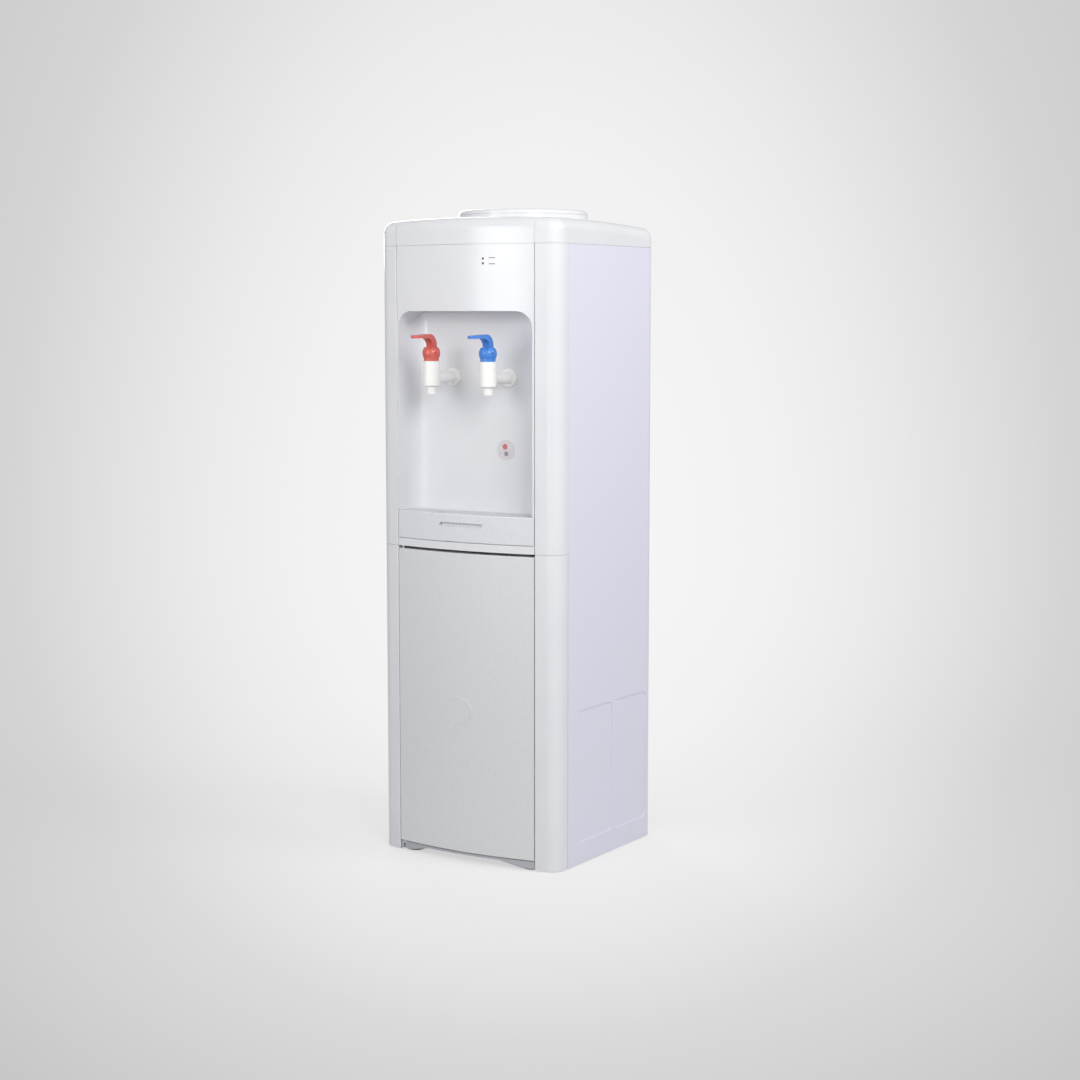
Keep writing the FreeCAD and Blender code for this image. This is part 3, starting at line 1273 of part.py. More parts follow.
for between in [1.5, wire_count - 2.5]:
    x = condenser_x0 + wire_pitch * between
    for z in [condenser_z0, condenser_z1]:
        foot = box(x - 2.5, x + 2.5, panel_y1, panel_y1 + 1.5, z - 12.0, z + 12.0)
        arm = box(x - 2.5, x + 2.5, panel_y1, condenser_y + condenser_tube + 2.0, z - 5.0, z + 5.0)
        arm = arm.cut(rod(condenser_tube + gap, V(x - 3, condenser_y, z), V(x + 3, condenser_y, z)))
        brackets.append(join(foot, arm))
pieces["condenser_brackets"] = Part.makeCompound(brackets)

# -------------------------------------------------------------- compressor
# Welded shell of two cups on a foot plate, held by four rubber grommets.
comp_z0 = deck_top_z + comp_lift
comp_split_z = comp_z0 + comp_height / 2
comp_z1 = comp_z0 + comp_height
comp_axis = V(comp_x, comp_y, 0)


def c(r, z):
    return V(r, 0, z)


def knuckle_mid(r, z, sign):
    off = comp_knuckle * (1 - math.sqrt(0.5))
    return c(r - off, z + sign * off)


upper_radius = comp_radius - 1.5
lip_radius_out = comp_radius + comp_lip
low_flat = c(comp_radius - comp_knuckle, comp_z0)
low_side = c(comp_radius, comp_z0 + comp_knuckle)
high_side = c(upper_radius, comp_z1 - comp_knuckle)
high_flat = c(upper_radius - comp_knuckle, comp_z1)
profile = Part.Face(Part.Wire([
    line(c(0, comp_z0), low_flat),
    arc(low_flat, knuckle_mid(comp_radius, comp_z0, 1), low_side),
    line(low_side, c(comp_radius, comp_split_z)),
    line(c(comp_radius, comp_split_z), c(lip_radius_out, comp_split_z)),
    line(c(lip_radius_out, comp_split_z), c(lip_radius_out, comp_split_z + 4.0)),
    line(c(lip_radius_out, comp_split_z + 4.0), c(upper_radius, comp_split_z + 4.0)),
    line(c(upper_radius, comp_split_z + 4.0), high_side),
    arc(high_side, knuckle_mid(upper_radius, comp_z1, -1), high_flat),
    line(high_flat, c(0, comp_z1)),
    line(c(0, comp_z1), c(0, comp_z0)),
]))
profile.translate(comp_axis)
compressor = profile.revolve(comp_axis, V(0, 0, 1), 360)
rail_z = comp_z0 - 4.0
plate_top_z = comp_z0 + 1.0
plate_x = comp_foot_x + 10.0
plate_y = comp_foot_y + 10.0
base_plate = box(comp_x - plate_x, comp_x + plate_x, comp_y - plate_y, comp_y + plate_y, rail_z, plate_top_z)
base_plate = base_plate.cut(box(
    comp_x - plate_x, comp_x + plate_x, comp_y - comp_foot_y + 8.0, comp_y + comp_foot_y - 8.0,
    rail_z, comp_z0 - 1.5,
))
grommets = []
for sx in [-1, 1]:
    for sy in [-1, 1]:
        spot = V(comp_x + sx * comp_foot_x, comp_y + sy * comp_foot_y, 0)
        base_plate = base_plate.cut(rod(6.0, spot + V(0, 0, rail_z), spot + V(0, 0, plate_top_z)))
        grommet = rod(10.0, spot + V(0, 0, deck_top_z + gap), spot + V(0, 0, rail_z - gap))
        nipple = rod(6.0 - gap, spot + V(0, 0, rail_z - gap), spot + V(0, 0, plate_top_z + 2.0))
        bolt_hole = rod(3.0, spot + V(0, 0, deck_top_z + gap), spot + V(0, 0, plate_top_z + 2.0))
        grommets.append(join(grommet, nipple).cut(bolt_hole))
pieces["compressor_mounts"] = Part.makeCompound(grommets)

suction_port = V(comp_x - 30.0, comp_y, comp_z1)
riser_port = V(comp_x + 20.0, comp_y + 15.0, comp_z1)
port_rise = V(0, 0, port_height)
compressor = join(
    compressor, base_plate,
    rod(port_radius, suction_port - port_rise, suction_port + port_rise),
    rod(port_radius, riser_port - port_rise, riser_port + port_rise),
)
pieces["compressor"] = compressor

# Cover over the terminals, on the side of the shell.
terminal_x = comp_x + comp_radius + 2 * gap
terminal_z = comp_split_z - 26.0
cover_box = box(
    terminal_x, terminal_x + 24.0, comp_y - 18.0, comp_y + 18.0, terminal_z - 18.0, terminal_z + 22.0
)
pieces["terminal_cover"] = round_edges(cover_box, 4.0, V(1, 0, 0))

# Lines: suction out of the foam to the compressor, riser to the top of the
# condenser, condenser's foot through the filter dryer, capillary to the foam.
dryer = V(dryer_x, dryer_y, 0)
dryer_z1 = dryer_z0 + dryer_length
dryer_body = join(
    rod(dryer_radius, dryer + V(0, 0, dryer_z0), dryer + V(0, 0, dryer_z1)),
    Part.makeCone(suction_radius, dryer_radius, dryer_cone, dryer + V(0, 0, dryer_z0 - dryer_cone), V(0, 0, 1)),
    Part.makeCone(dryer_radius, suction_radius, dryer_cone, dryer + V(0, 0, dryer_z1), V(0, 0, 1)),
)
lift_off = V(0, 0, port_height + gap)
line_wall = 1.0


def foam_entry(spot, z):
    """Where a line that comes radially from spot meets the outside of the foam."""
    inwards = (seat_axis - spot).normalize()
    return seat_axis - inwards * (foam_radius + gap) + V(0, 0, z)


suction_z = coil_bottom_z + 20.0
suction_line = pipe([
    suction_port + lift_off,
    suction_port + lift_off + V(0, 0, 40.0),
    suction + V(0, 0, comp_z1 + 95.0),
    suction + V(0, 0, suction_z),
    foam_entry(suction, suction_z),
], suction_radius, suction_radius - line_wall)
riser_line = pipe([
    riser_port + lift_off,
    riser_port + lift_off + V(0, 0, 25.0),
    riser + V(0, 0, comp_z1 + 90.0),
    riser + V(0, 0, condenser_z1),
    V(riser_x, condenser_y, condenser_z1),
    V(condenser_x0 - gap, condenser_y, condenser_z1),
], condenser_tube, condenser_tube - line_wall)
rear = rear.cut(rod(
    condenser_tube + 1.0, V(riser_x, panel_y0, condenser_z1), V(riser_x, panel_y1, condenser_z1)
))
drop_x = condenser_x0 - 16.0
cross_z = dryer_z1 + dryer_cone + 30.0
liquid_line = pipe([
    dryer + V(0, 0, dryer_z1 + dryer_cone + gap),
    dryer + V(0, 0, cross_z - 10.0),
    V(dryer_x - 8.0, condenser_y, cross_z),
    V(drop_x, condenser_y, cross_z + 15.0),
    V(drop_x, condenser_y, condenser_z0),
    V(condenser_x0 - gap, condenser_y, condenser_z0),
], condenser_tube, condenser_tube - line_wall)
beside = (seat_axis - suction).normalize().cross(V(0, 0, -1))
capillary_up = suction + beside * (line_hole - capillary_radius - 0.5)
capillary_z = suction_z - 15.0
capillary = pipe([
    dryer + V(0, 0, dryer_z0 - dryer_cone - gap),
    dryer + V(0, 0, dryer_z0 - dryer_cone - 20.0),
    V(dryer_x - 22.0, dryer_y - 14.0, dryer_z0 - dryer_cone - 12.0),
    capillary_up + V(0, 0, dryer_z0 + 20.0),
    capillary_up + V(0, 0, capillary_z),
    foam_entry(capillary_up, capillary_z),
], capillary_radius, 0)
pieces["refrigerant_lines"] = Part.makeCompound([suction_line, riser_line, liquid_line, capillary, dryer_body])
pieces["rear_panel"] = rear

# -------------------------------------------------------------------- export
front_reach = tap_y - lever_tip
rear_reach = max(condenser_y + wire_off + rod_wire, cap_y1)
to_origin = V(0, -(front_reach + rear_reach) / 2, 0)
for name, shape in pieces.items():
    placed = shape.copy()
    placed.translate(to_origin)
    placed.exportStep("parts/" + name + ".step")
print(len(pieces), "nodes, origin shift", round(to_origin.y, 3))
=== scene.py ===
import bmesh
import bpy
import math
from mathutils import Matrix, Vector
from mathutils.bvhtree import BVHTree


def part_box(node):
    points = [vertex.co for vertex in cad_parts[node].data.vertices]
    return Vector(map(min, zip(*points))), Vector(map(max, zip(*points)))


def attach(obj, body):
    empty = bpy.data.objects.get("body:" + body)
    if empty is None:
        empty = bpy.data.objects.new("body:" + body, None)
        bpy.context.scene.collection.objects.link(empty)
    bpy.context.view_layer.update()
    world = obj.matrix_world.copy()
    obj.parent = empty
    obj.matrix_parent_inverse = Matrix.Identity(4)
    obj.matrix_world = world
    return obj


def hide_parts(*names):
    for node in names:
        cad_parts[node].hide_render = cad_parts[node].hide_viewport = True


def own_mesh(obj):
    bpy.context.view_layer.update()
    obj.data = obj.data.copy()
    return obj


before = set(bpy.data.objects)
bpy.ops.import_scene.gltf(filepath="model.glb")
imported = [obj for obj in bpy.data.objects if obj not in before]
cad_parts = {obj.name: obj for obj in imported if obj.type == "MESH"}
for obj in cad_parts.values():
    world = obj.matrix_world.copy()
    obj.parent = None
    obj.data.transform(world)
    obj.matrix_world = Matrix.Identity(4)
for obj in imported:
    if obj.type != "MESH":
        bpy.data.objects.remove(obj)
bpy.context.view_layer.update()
bpy.context.scene.view_settings.view_transform = "Standard"

# ------------------------------------------------------------------ camera
# A short telephoto lens at chest height, to the right of the cooler's front,
# with the whole cabinet small in a square picture.
camera_place = Vector((1.6846, -2.5922, 0.8007))
camera_right = Vector((0.8458, 0.5335, 0.0))
camera_up = Vector((-0.0580, 0.0919, 0.9941))
camera_ahead = Vector((-0.5303, 0.8408, -0.1087))
lens = bpy.data.cameras.new("camera")
lens.sensor_fit = "HORIZONTAL"
lens.sensor_width = 36.0
lens.lens = 69.12
lens.clip_end = 200.0
camera = bpy.data.objects.new("camera", lens)
turn = Matrix((camera_right, camera_up, -camera_ahead)).transposed()
camera.matrix_world = Matrix.Translation(camera_place) @ turn.to_4x4()
bpy.context.scene.collection.objects.link(camera)
bpy.context.scene.camera = camera


# ------------------------------------------------------- backdrop and floor
# A seamless pale grey studio backdrop: a wide sweep with a soft oval glow
# behind the cooler that falls off to a darker grey towards the corners. The
# glow is painted light and the darker grey is painted shade, both in the world
# that the camera sees and in the floor's own light.
def linear(hex_code):
    """An sRGB hex value as the linear values that a shader takes."""
    values = []
    for place in (1, 3, 5):
        share = int(hex_code[place:place + 2], 16) / 255
        values.append(share / 12.92 if share <= 0.04045 else ((share + 0.055) / 1.055) ** 2.4)
    return values + [1.0]


def add_node(tree, kind, settings=None, links=None):
    """Adds one node, with its own settings, its sockets' values and its links."""
    node = tree.nodes.new("ShaderNode" + kind)
    for name, value in (settings or {}).items():
        if isinstance(name, str) and hasattr(node, name):
            setattr(node, name, value)
        else:
            node.inputs[name].default_value = value
    for name, socket in (links or {}).items():
        tree.links.new(socket, node.inputs[name])
    return node


def new_object(name, mesh_maker):
    """A mesh object at the origin from a bmesh."""
    mesh = bpy.data.meshes.new(name)
    mesh_maker.to_mesh(mesh)
    mesh_maker.free()
    thing = bpy.data.objects.new(name, mesh)
    bpy.context.scene.collection.objects.link(thing)
    return thing


glow_half_width = 0.2566
glow_above = 0.4197
glow_below = 0.2412
painted_glow_greys = (
    (0.20, "#F5F5F5"), (0.45, "#F1F1F1"), (0.64, "#EAEAEA"),
    (0.83, "#DFDFDF"), (1.00, "#D4D4D4"), (1.46, "#C5C5C5"),
)
glow_end = 1.6


def glow(tree, direction):
    """The backdrop's grey in that direction from where the glow is seen: a painted glow, lighter in the
    middle and painted darker further out.
    """
    across = add_node(tree, "VectorMath", {"operation": "DOT_PRODUCT", 1: camera_right}, {0: direction})
    along = add_node(tree, "VectorMath", {"operation": "DOT_PRODUCT", 1: camera_up}, {0: direction})
    ahead = add_node(tree, "VectorMath", {"operation": "DOT_PRODUCT", 1: camera_ahead}, {0: direction})
    depth = add_node(tree, "Math", {"operation": "MAXIMUM", 1: 0.001}, {0: ahead.outputs["Value"]})
    side = add_node(
        tree, "Math", {"operation": "DIVIDE"}, {0: across.outputs["Value"], 1: depth.outputs[0]}
    )
    rise = add_node(
        tree, "Math", {"operation": "DIVIDE"}, {0: along.outputs["Value"], 1: depth.outputs[0]}
    )
    side_share = add_node(tree, "Math", {"operation": "DIVIDE", 1: glow_half_width}, {0: side.outputs[0]})
    above = add_node(tree, "Math", {"operation": "DIVIDE", 1: glow_above}, {0: rise.outputs[0]})
    below = add_node(tree, "Math", {"operation": "DIVIDE", 1: -glow_below}, {0: rise.outputs[0]})
    rise_share = add_node(
        tree, "Math", {"operation": "MAXIMUM"}, {0: above.outputs[0], 1: below.outputs[0]}
    )
    spot = add_node(tree, "CombineXYZ", {}, {"X": side_share.outputs[0], "Y": rise_share.outputs[0]})
    far = add_node(tree, "VectorMath", {"operation": "LENGTH"}, {0: spot.outputs[0]})
    share = add_node(tree, "Math", {"operation": "DIVIDE", 1: glow_end}, {0: far.outputs["Value"]})
    ramp = add_node(tree, "ValToRGB", {}, {"Fac": share.outputs[0]})
    stops = ramp.color_ramp.elements
    stops[0].position, stops[0].color = painted_glow_greys[0][0] / glow_end, linear(painted_glow_greys[0][1])
    stops[1].position, stops[1].color = painted_glow_greys[-1][0] / glow_end, linear(painted_glow_greys[-1][1])
    for reach, grey in painted_glow_greys[1:-1]:
        stops.new(reach / glow_end).color = linear(grey)
    return ramp.outputs["Color"]


def seen_directly(tree):
    """1 for rays from the camera and for those that gloss or glass sends on."""
    path = add_node(tree, "LightPath")
    glossy = add_node(tree, "Math", {"operation": "MAXIMUM"}, {
        0: path.outputs["Is Camera Ray"], 1: path.outputs["Is Glossy Ray"],
    })
    seen = add_node(tree, "Math", {"operation": "MAXIMUM"}, {
        0: glossy.outputs[0], 1: path.outputs["Is Transmission Ray"],
    })
    return seen.outputs[0]


room_light = 0.43
world = bpy.data.worlds.new("studio_room")
bpy.context.scene.world = world
world.use_nodes = True
tree = world.node_tree
tree.nodes.clear()
view = add_node(tree, "TexCoord")
# Rays from the camera, gloss and glass see the painted glow; the others see an even room light.
shown = add_node(tree, "Background", {"Strength": 1.0}, {"Color": glow(tree, view.outputs["Generated"])})
lit = add_node(tree, "Background", {"Color": (1.0, 1.0, 1.0, 1.0), "Strength": room_light})
both = add_node(tree, "MixShader", {}, {0: seen_directly(tree), 1: lit.outputs[0], 2: shown.outputs[0]})
add_node(tree, "OutputWorld", {}, {"Surface": both.outputs[0]})

floor_radius = 60.0
shadow_share = 0.28           # how deep the cooler's shadow may get
shadow_fade = (0.3, 1.6)      # metres from the cooler where it thins and ends
floor_light = 0.80            # what the lamps give the floor by the cooler
maker = bmesh.new()
bmesh.ops.create_circle(maker, cap_ends=True, segments=96, radius=floor_radius)
floor = new_object("studio_floor", maker)
paper_and_painted_glow = bpy.data.materials.new("backdrop_paper_and_painted_glow")
paper_and_painted_glow.use_nodes = True
tree = paper_and_painted_glow.node_tree
tree.nodes.clear()
place = add_node(tree, "TexCoord")
way = add_node(tree, "VectorMath", {"operation": "SUBTRACT", 1: camera_place}, {0: place.outputs["Object"]})
grey = glow(tree, way.outputs[0])
near = add_node(tree, "VectorMath", {"operation": "LENGTH"}, {0: place.outputs["Object"]})
taken = add_node(tree, "MapRange", {
    "interpolation_type": "SMOOTHSTEP", "From Min": shadow_fade[0], "From Max": shadow_fade[1],
    "To Min": shadow_share, "To Max": 0.0,
}, {"Value": near.outputs["Value"]})
kept = add_node(tree, "Math", {"operation": "SUBTRACT", 0: 1.0}, {1: taken.outputs[0]})
evened = add_node(tree, "Math", {"operation": "DIVIDE", 1: floor_light}, {0: taken.outputs[0]})
tint = add_node(tree, "VectorMath", {"operation": "SCALE"}, {0: grey, "Scale": evened.outputs[0]})
matt = add_node(tree, "BsdfDiffuse", {}, {"Color": tint.outputs[0]})
# The floor's own light: it glows with the painted glow's grey, which is painted light, thinned near the
# cooler where its real shadow is kept.
own = add_node(tree, "Emission", {}, {"Color": grey, "Strength": kept.outputs[0]})
shown = add_node(tree, "AddShader", {}, {0: matt.outputs[0], 1: own.outputs[0]})
lit = add_node(tree, "BsdfDiffuse", {"Color": linear("#A6A6A9")})
both = add_node(tree, "MixShader", {}, {0: seen_directly(tree), 1: lit.outputs[0], 2: shown.outputs[0]})
add_node(tree, "OutputMaterial", {}, {"Surface": both.outputs[0]})
floor.data.materials.append(paper_and_painted_glow)


# ------------------------------------------------------------------- lamps
# Soft boxes: a tall one left of the camera that only shows as the bright band
# in the gloss, a broad and a narrow one in front, the main one on the right
# of the front, and fills for the right-hand side and the rear.
def add_lamp(name, target, azimuth, elevation, distance, width, height, watts):
    """A rectangular soft box that faces a point of the cooler."""
    lamp = bpy.data.lights.new(name, "AREA")
    lamp.shape = "RECTANGLE"
    lamp.size = width
    lamp.size_y = height
    lamp.energy = watts
    azimuth, elevation = math.radians(azimuth), math.radians(elevation)
    level = math.cos(elevation)
    outwards = Vector((math.sin(azimuth) * level, -math.cos(azimuth) * level, math.sin(elevation)))
    box = bpy.data.objects.new(name, lamp)
    box.matrix_world = Matrix.Translation(Vector(target) + outwards * distance) @ (
        outwards.to_track_quat("Z", "Y").to_matrix().to_4x4()
    )
    bpy.context.scene.collection.objects.link(box)
    return box


# Each with its target, azimuth and elevation from there in degrees, distance,
# width and height in metres, and watts.
band_lamp = add_lamp("tall_soft_box", (0, -0.1, 0.9), -18.5, 8, 2.4, 0.8, 1.2, 11.0)
band_lamp.visible_diffuse = False
front_fill = add_lamp("front_fill", (0, -0.1, 0.9), -10, 3, 1.25, 0.6, 0.6, 5.1)
front_fill.visible_glossy = False
add_lamp("front_key", (0, -0.1, 0.5), 14, 8, 2.5, 0.25, 1.6, 4.0)
add_lamp("main_soft_box", (0, -0.1, 0.9), 54, 18, 2.1, 0.9, 0.9, 19.0)
add_lamp("side_fill", (0.15, 0.0, 0.8), 98, 30, 2.1, 0.7, 1.0, 17.0)
add_lamp("rear_fill", (0.0, 0.1, 0.6), 228, 18, 2.6, 1.0, 1.0, 20.0)


# ------------------------------------------------------- base and its feet
# Plinth with two wedge feet in front, injection-moulded in grey polypropylene
# with a matt grain; four black rubber pads are pressed into its feet.
mm = 0.001
noise_span = (0.3, 0.7)       # where nearly all values of a noise lie


def grained(name, grain, colours, roughness, relief, sockets=None, stretch=(1.0, 1.0, 1.0)):
    """A material whose colour, gloss and relief follow one grain, sizes in mm."""
    material = bpy.data.materials.new(name)
    material.use_nodes = True
    tree = material.node_tree
    tree.nodes.clear()
    shader = add_node(tree, "BsdfPrincipled", sockets)
    add_node(tree, "OutputMaterial", {}, {"Surface": shader.outputs[0]})
    place = add_node(tree, "TexCoord")
    drawn = add_node(tree, "Mapping", {"Scale": stretch}, {"Vector": place.outputs["Object"]})
    noise = add_node(tree, "TexNoise", {"Scale": 1 / (grain * mm), "Detail": 2.0}, {
        "Vector": drawn.outputs[0],
    })
    dull = add_node(tree, "MapRange", {
        "From Min": noise_span[0], "From Max": noise_span[1],
        "To Min": roughness[0], "To Max": roughness[1],
    }, {"Value": noise.outputs["Fac"]})
    tree.links.new(dull.outputs[0], shader.inputs["Roughness"])
    if colours:
        tint = add_node(tree, "ValToRGB", {}, {"Fac": noise.outputs["Fac"]})
        for stop, position, colour in zip(tint.color_ramp.elements, noise_span, colours):
            stop.position, stop.color = position, linear(colour)
        tree.links.new(tint.outputs["Color"], shader.inputs["Base Color"])
    if relief:
        bump = add_node(tree, "Bump", {"Distance": relief * mm}, {"Height": noise.outputs["Fac"]})
        tree.links.new(bump.outputs[0], shader.inputs["Normal"])
    return material


def dress(material, *names):
    """Gives CAD nodes their finish."""
    for name in names:
        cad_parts[name].material_slots[0].material = material


plinth_grey = grained(
    "grey_moulded_polypropylene", 1.2, ("#B4B5BB", "#BEBFC4"), (0.42, 0.55), 0.10,
    {"IOR": 1.49},
)
dress(plinth_grey, "base_plinth")

# Moulded rubber: dull, black, with a dusty bloom in its pores.
black_rubber = grained(
    "black_moulded_rubber", 2.0, ("#1A1A1C", "#26262A"), (0.62, 0.80), 0.15,
    {"IOR": 1.52},
)
dress(black_rubber, "rubber_feet", "compressor_mounts")

# ------------------------------------------- compressor and refrigerant lines
# Hermetic compressor in the open bay at the rear: a drawn steel shell with a
# welded lip, sprayed in black enamel. A clip-on cover hides its terminals.
black_enamel = grained(
    "black_enamelled_steel", 2.5, ("#121214", "#1B1B1E"), (0.24, 0.36), 0.12,
    {"Coat Weight": 0.3, "Coat Roughness": 0.15},
)
dress(black_enamel, "compressor", "condenser_tube", "condenser_wires")

# Glass-filled nylon with a spark-eroded grain that scatters the light.
black_nylon = grained(
    "black_textured_nylon", 0.8, ("#151517", "#202023"), (0.45, 0.60), 0.12,
    {"IOR": 1.53},
)
dress(
    black_nylon, "terminal_cover", "hot_thermostats", "switch_housings", "thermostat_knob",
    "cold_thermostat", "cord_gland",
)

# Drawn copper tube: bright where it was handled, browner where it has aged.
copper = grained(
    "drawn_copper_tube", 14.0, ("#B0714F", "#D79A74"), (0.26, 0.44), 0.05,
    {"Metallic": 1.0},
)
dress(copper, "refrigerant_lines", "evaporator_coil")

# ------------------------------------------------- platforms and brackets
# Folded from hot-dip galvanised sheet: a cool grey with the large, faintly
# shaded crystals of the zinc, also on the rear panel and condenser brackets.
galvanised = grained(
    "galvanised_sheet_steel", 1.6, None, (0.34, 0.44), 0.03,
    {"Metallic": 0.85},
)
crystal_size = 7.0
crystal_greys = ((0.2, "#ABB0B5"), (0.8, "#BCC0C4"))
tree = galvanised.node_tree
place = add_node(tree, "TexCoord").outputs["Object"]
spangle = add_node(tree, "TexVoronoi", {"Scale": 1 / (crystal_size * mm)}, {"Vector": place})
crystals = add_node(tree, "ValToRGB", {}, {"Fac": spangle.outputs["Color"]})
for stop, (position, colour) in zip(crystals.color_ramp.elements, crystal_greys):
    stop.position, stop.color = position, linear(colour)
tree.links.new(crystals.outputs["Color"], tree.nodes["Principled BSDF"].inputs["Base Color"])
dress(galvanised, "tank_platforms", "rear_panel", "condenser_brackets")

# ------------------------------------------------------------ side panels
# Cold-rolled sheet steel, folded at both ends and stamped with flat fields
# below, powder-coated in a cool white with a fine orange peel.
side_paint = grained(
    "white_powder_coated_steel", 1.8, ("#E5E4F3", "#E9E8F6"), (0.30, 0.40), 0.05,
    {"IOR": 1.5},
)
dress(side_paint, "side_panel_left", "side_panel_right")

# -------------------------------------------------------------- cold tank
# Deep-drawn stainless tank with a moulded baffle, wound with the evaporator
# and foamed in.
drawn_stainless = grained(
    "drawn_stainless_steel", 1.5, ("#B2B3B6", "#C5C6C8"), (0.20, 0.34), 0.02,
    {"Metallic": 1.0},
    stretch=(1.0, 1.0, 0.08),
)
dress(drawn_stainless, "cold_tank", "hot_tank")

# Expanded foam: cream beads pressed together, without any gloss.
bead_foam = grained(
    "cream_bead_foam", 4.0, ("#DDD6BB", "#EFEAD6"), (0.85, 0.98), 0.6,
)
dress(bead_foam, "cold_tank_foam", "hot_tank_foam")

# --------------------------------------------------------------- hot tank
# Stainless tank with a mica heater band round it, two clip-on thermostats
# and hoses of translucent silicone that lead to the taps and the drain.
heater_mica = grained(
    "mica_heater_band", 3.0, ("#A79B80", "#C4BAA2"), (0.30, 0.48), 0.15,
    {"Metallic": 0.7},
    stretch=(1.0, 1.0, 3.0),
)
dress(heater_mica, "heater_band")

silicone = grained(
    "translucent_silicone", 3.0, ("#D3D4CF", "#DFE0DC"), (0.32, 0.46), 0.05,
    {
        "IOR": 1.43,
        "Subsurface Weight": 0.25,
        "Subsurface Radius": (1.0, 1.0, 0.95),
        "Subsurface Scale": 0.003,
    },
)
dress(silicone, "water_hoses", "drain_pipe", "seat_gasket")

# ----------------------------------------- cover, front, pillars and seat
# The visible white mouldings: top cover, fascia with its bay, pillars and the
# bottle seat. Injection-moulded ABS with a bright finish, snapped together.
# The gloss wavers a little where the wall has shrunk behind its skin.
white_abs = grained(
    "white_gloss_abs", 90.0, ("#E6E7EB", "#EAEBEE"), (0.14, 0.20), None,
    {"IOR": 1.53},
)
sink_size = 38.0
skin_size = 1.4
tree = white_abs.node_tree
place = add_node(tree, "TexCoord").outputs["Object"]
sink = add_node(tree, "TexNoise", {"Scale": 1 / (sink_size * mm), "Detail": 1.0}, {"Vector": place})
skin = add_node(tree, "TexNoise", {"Scale": 1 / (skin_size * mm), "Detail": 2.0}, {"Vector": place})
wave = add_node(tree, "Bump", {"Strength": 0.10, "Distance": 0.8 * mm}, {"Height": sink.outputs["Fac"]})
peel = add_node(tree, "Bump", {"Strength": 0.05, "Distance": 0.2 * mm}, {
    "Height": skin.outputs["Fac"], "Normal": wave.outputs[0],
})
tree.links.new(peel.outputs[0], tree.nodes["Principled BSDF"].inputs["Normal"])
dress(
    white_abs, "top_cover", "upper_front_panel", "upper_pillar_left", "upper_pillar_right",
    "lower_pillar_left", "lower_pillar_right", "bottle_seat",
)

# ------------------------------------------------------- cupboard and liner
# Vacuum-formed polystyrene tub, and the door's inner sheet: satin white, with
# the slight stretch marks that forming leaves.
formed_white = grained(
    "satin_formed_polystyrene", 25.0, ("#E0E1E4", "#E3E4E7"), (0.40, 0.48), 0.02,
    {"IOR": 1.59},
    stretch=(1.0, 1.0, 0.25),
)
dress(formed_white, "cupboard_liner", "door_inner_panel", "tank_baffle")

# -------------------------------------------------------------------- door
# Bowed door of the cupboard, moulded in ABS with fine metal flake that makes
# it a soft silver grey. A blank oval rim stands a little proud of it.
door_silver = grained(
    "silver_flake_abs", 0.9, ("#DEDFE1", "#E6E7E8"), (0.26, 0.36), 0.02,
    {"Metallic": 0.12, "IOR": 1.5},
)
dress(door_silver, "door_panel")

# Hinge pins, striker, screws and lever pins: turned and pressed stainless
# steel, with the fine lines of the tool.
bright_steel = grained(
    "turned_stainless_steel", 0.5, ("#B4B5B8", "#C6C7CA"), (0.22, 0.36), 0.01,
    {"Metallic": 1.0},
)
dress(bright_steel, "door_hinge_pins", "striker_plate", "tap_lever_pins", "panel_screws")
dress(plinth_grey, "magnet_catch", "drain_cap")

# -------------------------------------------------------- drip tray, grille
# Tray moulded in a satin white ABS; its grille is a satin grey grating that
# lies loose on the rim.
tray_white = grained(
    "white_satin_abs", 1.2, ("#E0E1E6", "#E6E7EB"), (0.24, 0.32), 0.02,
    {"IOR": 1.53},
)
dress(tray_white, "drip_tray")

grille_grey = grained(
    "grey_satin_polypropylene", 0.8, ("#D2D4DA", "#DADCE1"), (0.36, 0.50), 0.03,
    {"IOR": 1.49},
)
dress(grille_grey, "drip_grille")

# -------------------------------------------------------------------- taps
# Tap bodies in a warm white acetal, with ball bonnets and levers in red and
# blue ABS. Acetal is waxy, so light goes a little way into it.
tap_white = grained(
    "warm_white_acetal", 0.9, ("#F9F9F5", "#FBFBF8"), (0.26, 0.31), 0.008,
    {
        "IOR": 1.48,
        "Subsurface Weight": 0.08,
        "Subsurface Radius": (0.9, 0.85, 0.7),
        "Subsurface Scale": 0.002,
    },
)
dress(
    tap_white, "hot_tap_body", "cold_tap_body", "tap_locknuts", "hot_tap_plunger", "cold_tap_plunger"
)

tap_red = grained(
    "red_gloss_abs", 1.0, ("#D76157", "#DC6A60"), (0.18, 0.24), 0.008,
    {"IOR": 1.53},
)
dress(tap_red, "hot_tap_bonnet", "hot_tap_lever")

tap_blue = grained(
    "blue_gloss_abs", 1.0, ("#4182D9", "#4B8BDE"), (0.18, 0.24), 0.008,
    {"IOR": 1.53},
)
dress(tap_blue, "cold_tap_bonnet", "cold_tap_lever")

# ----------------------------------------------------------- valve springs
# One compression spring round each valve rod, coiled from stainless wire,
# with a close turn at both ends. On the real tap the lever's pull on the rod
# shortens it; this one keeps its rest length.
def finish_piece(name, maker, material, body):
    """Makes the piece's object, gives it its finish and lets it ride."""
    bmesh.ops.recalc_face_normals(maker, faces=maker.faces)
    piece = new_object(name, maker)
    piece.data.materials.append(material)
    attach(piece, body)
    return piece


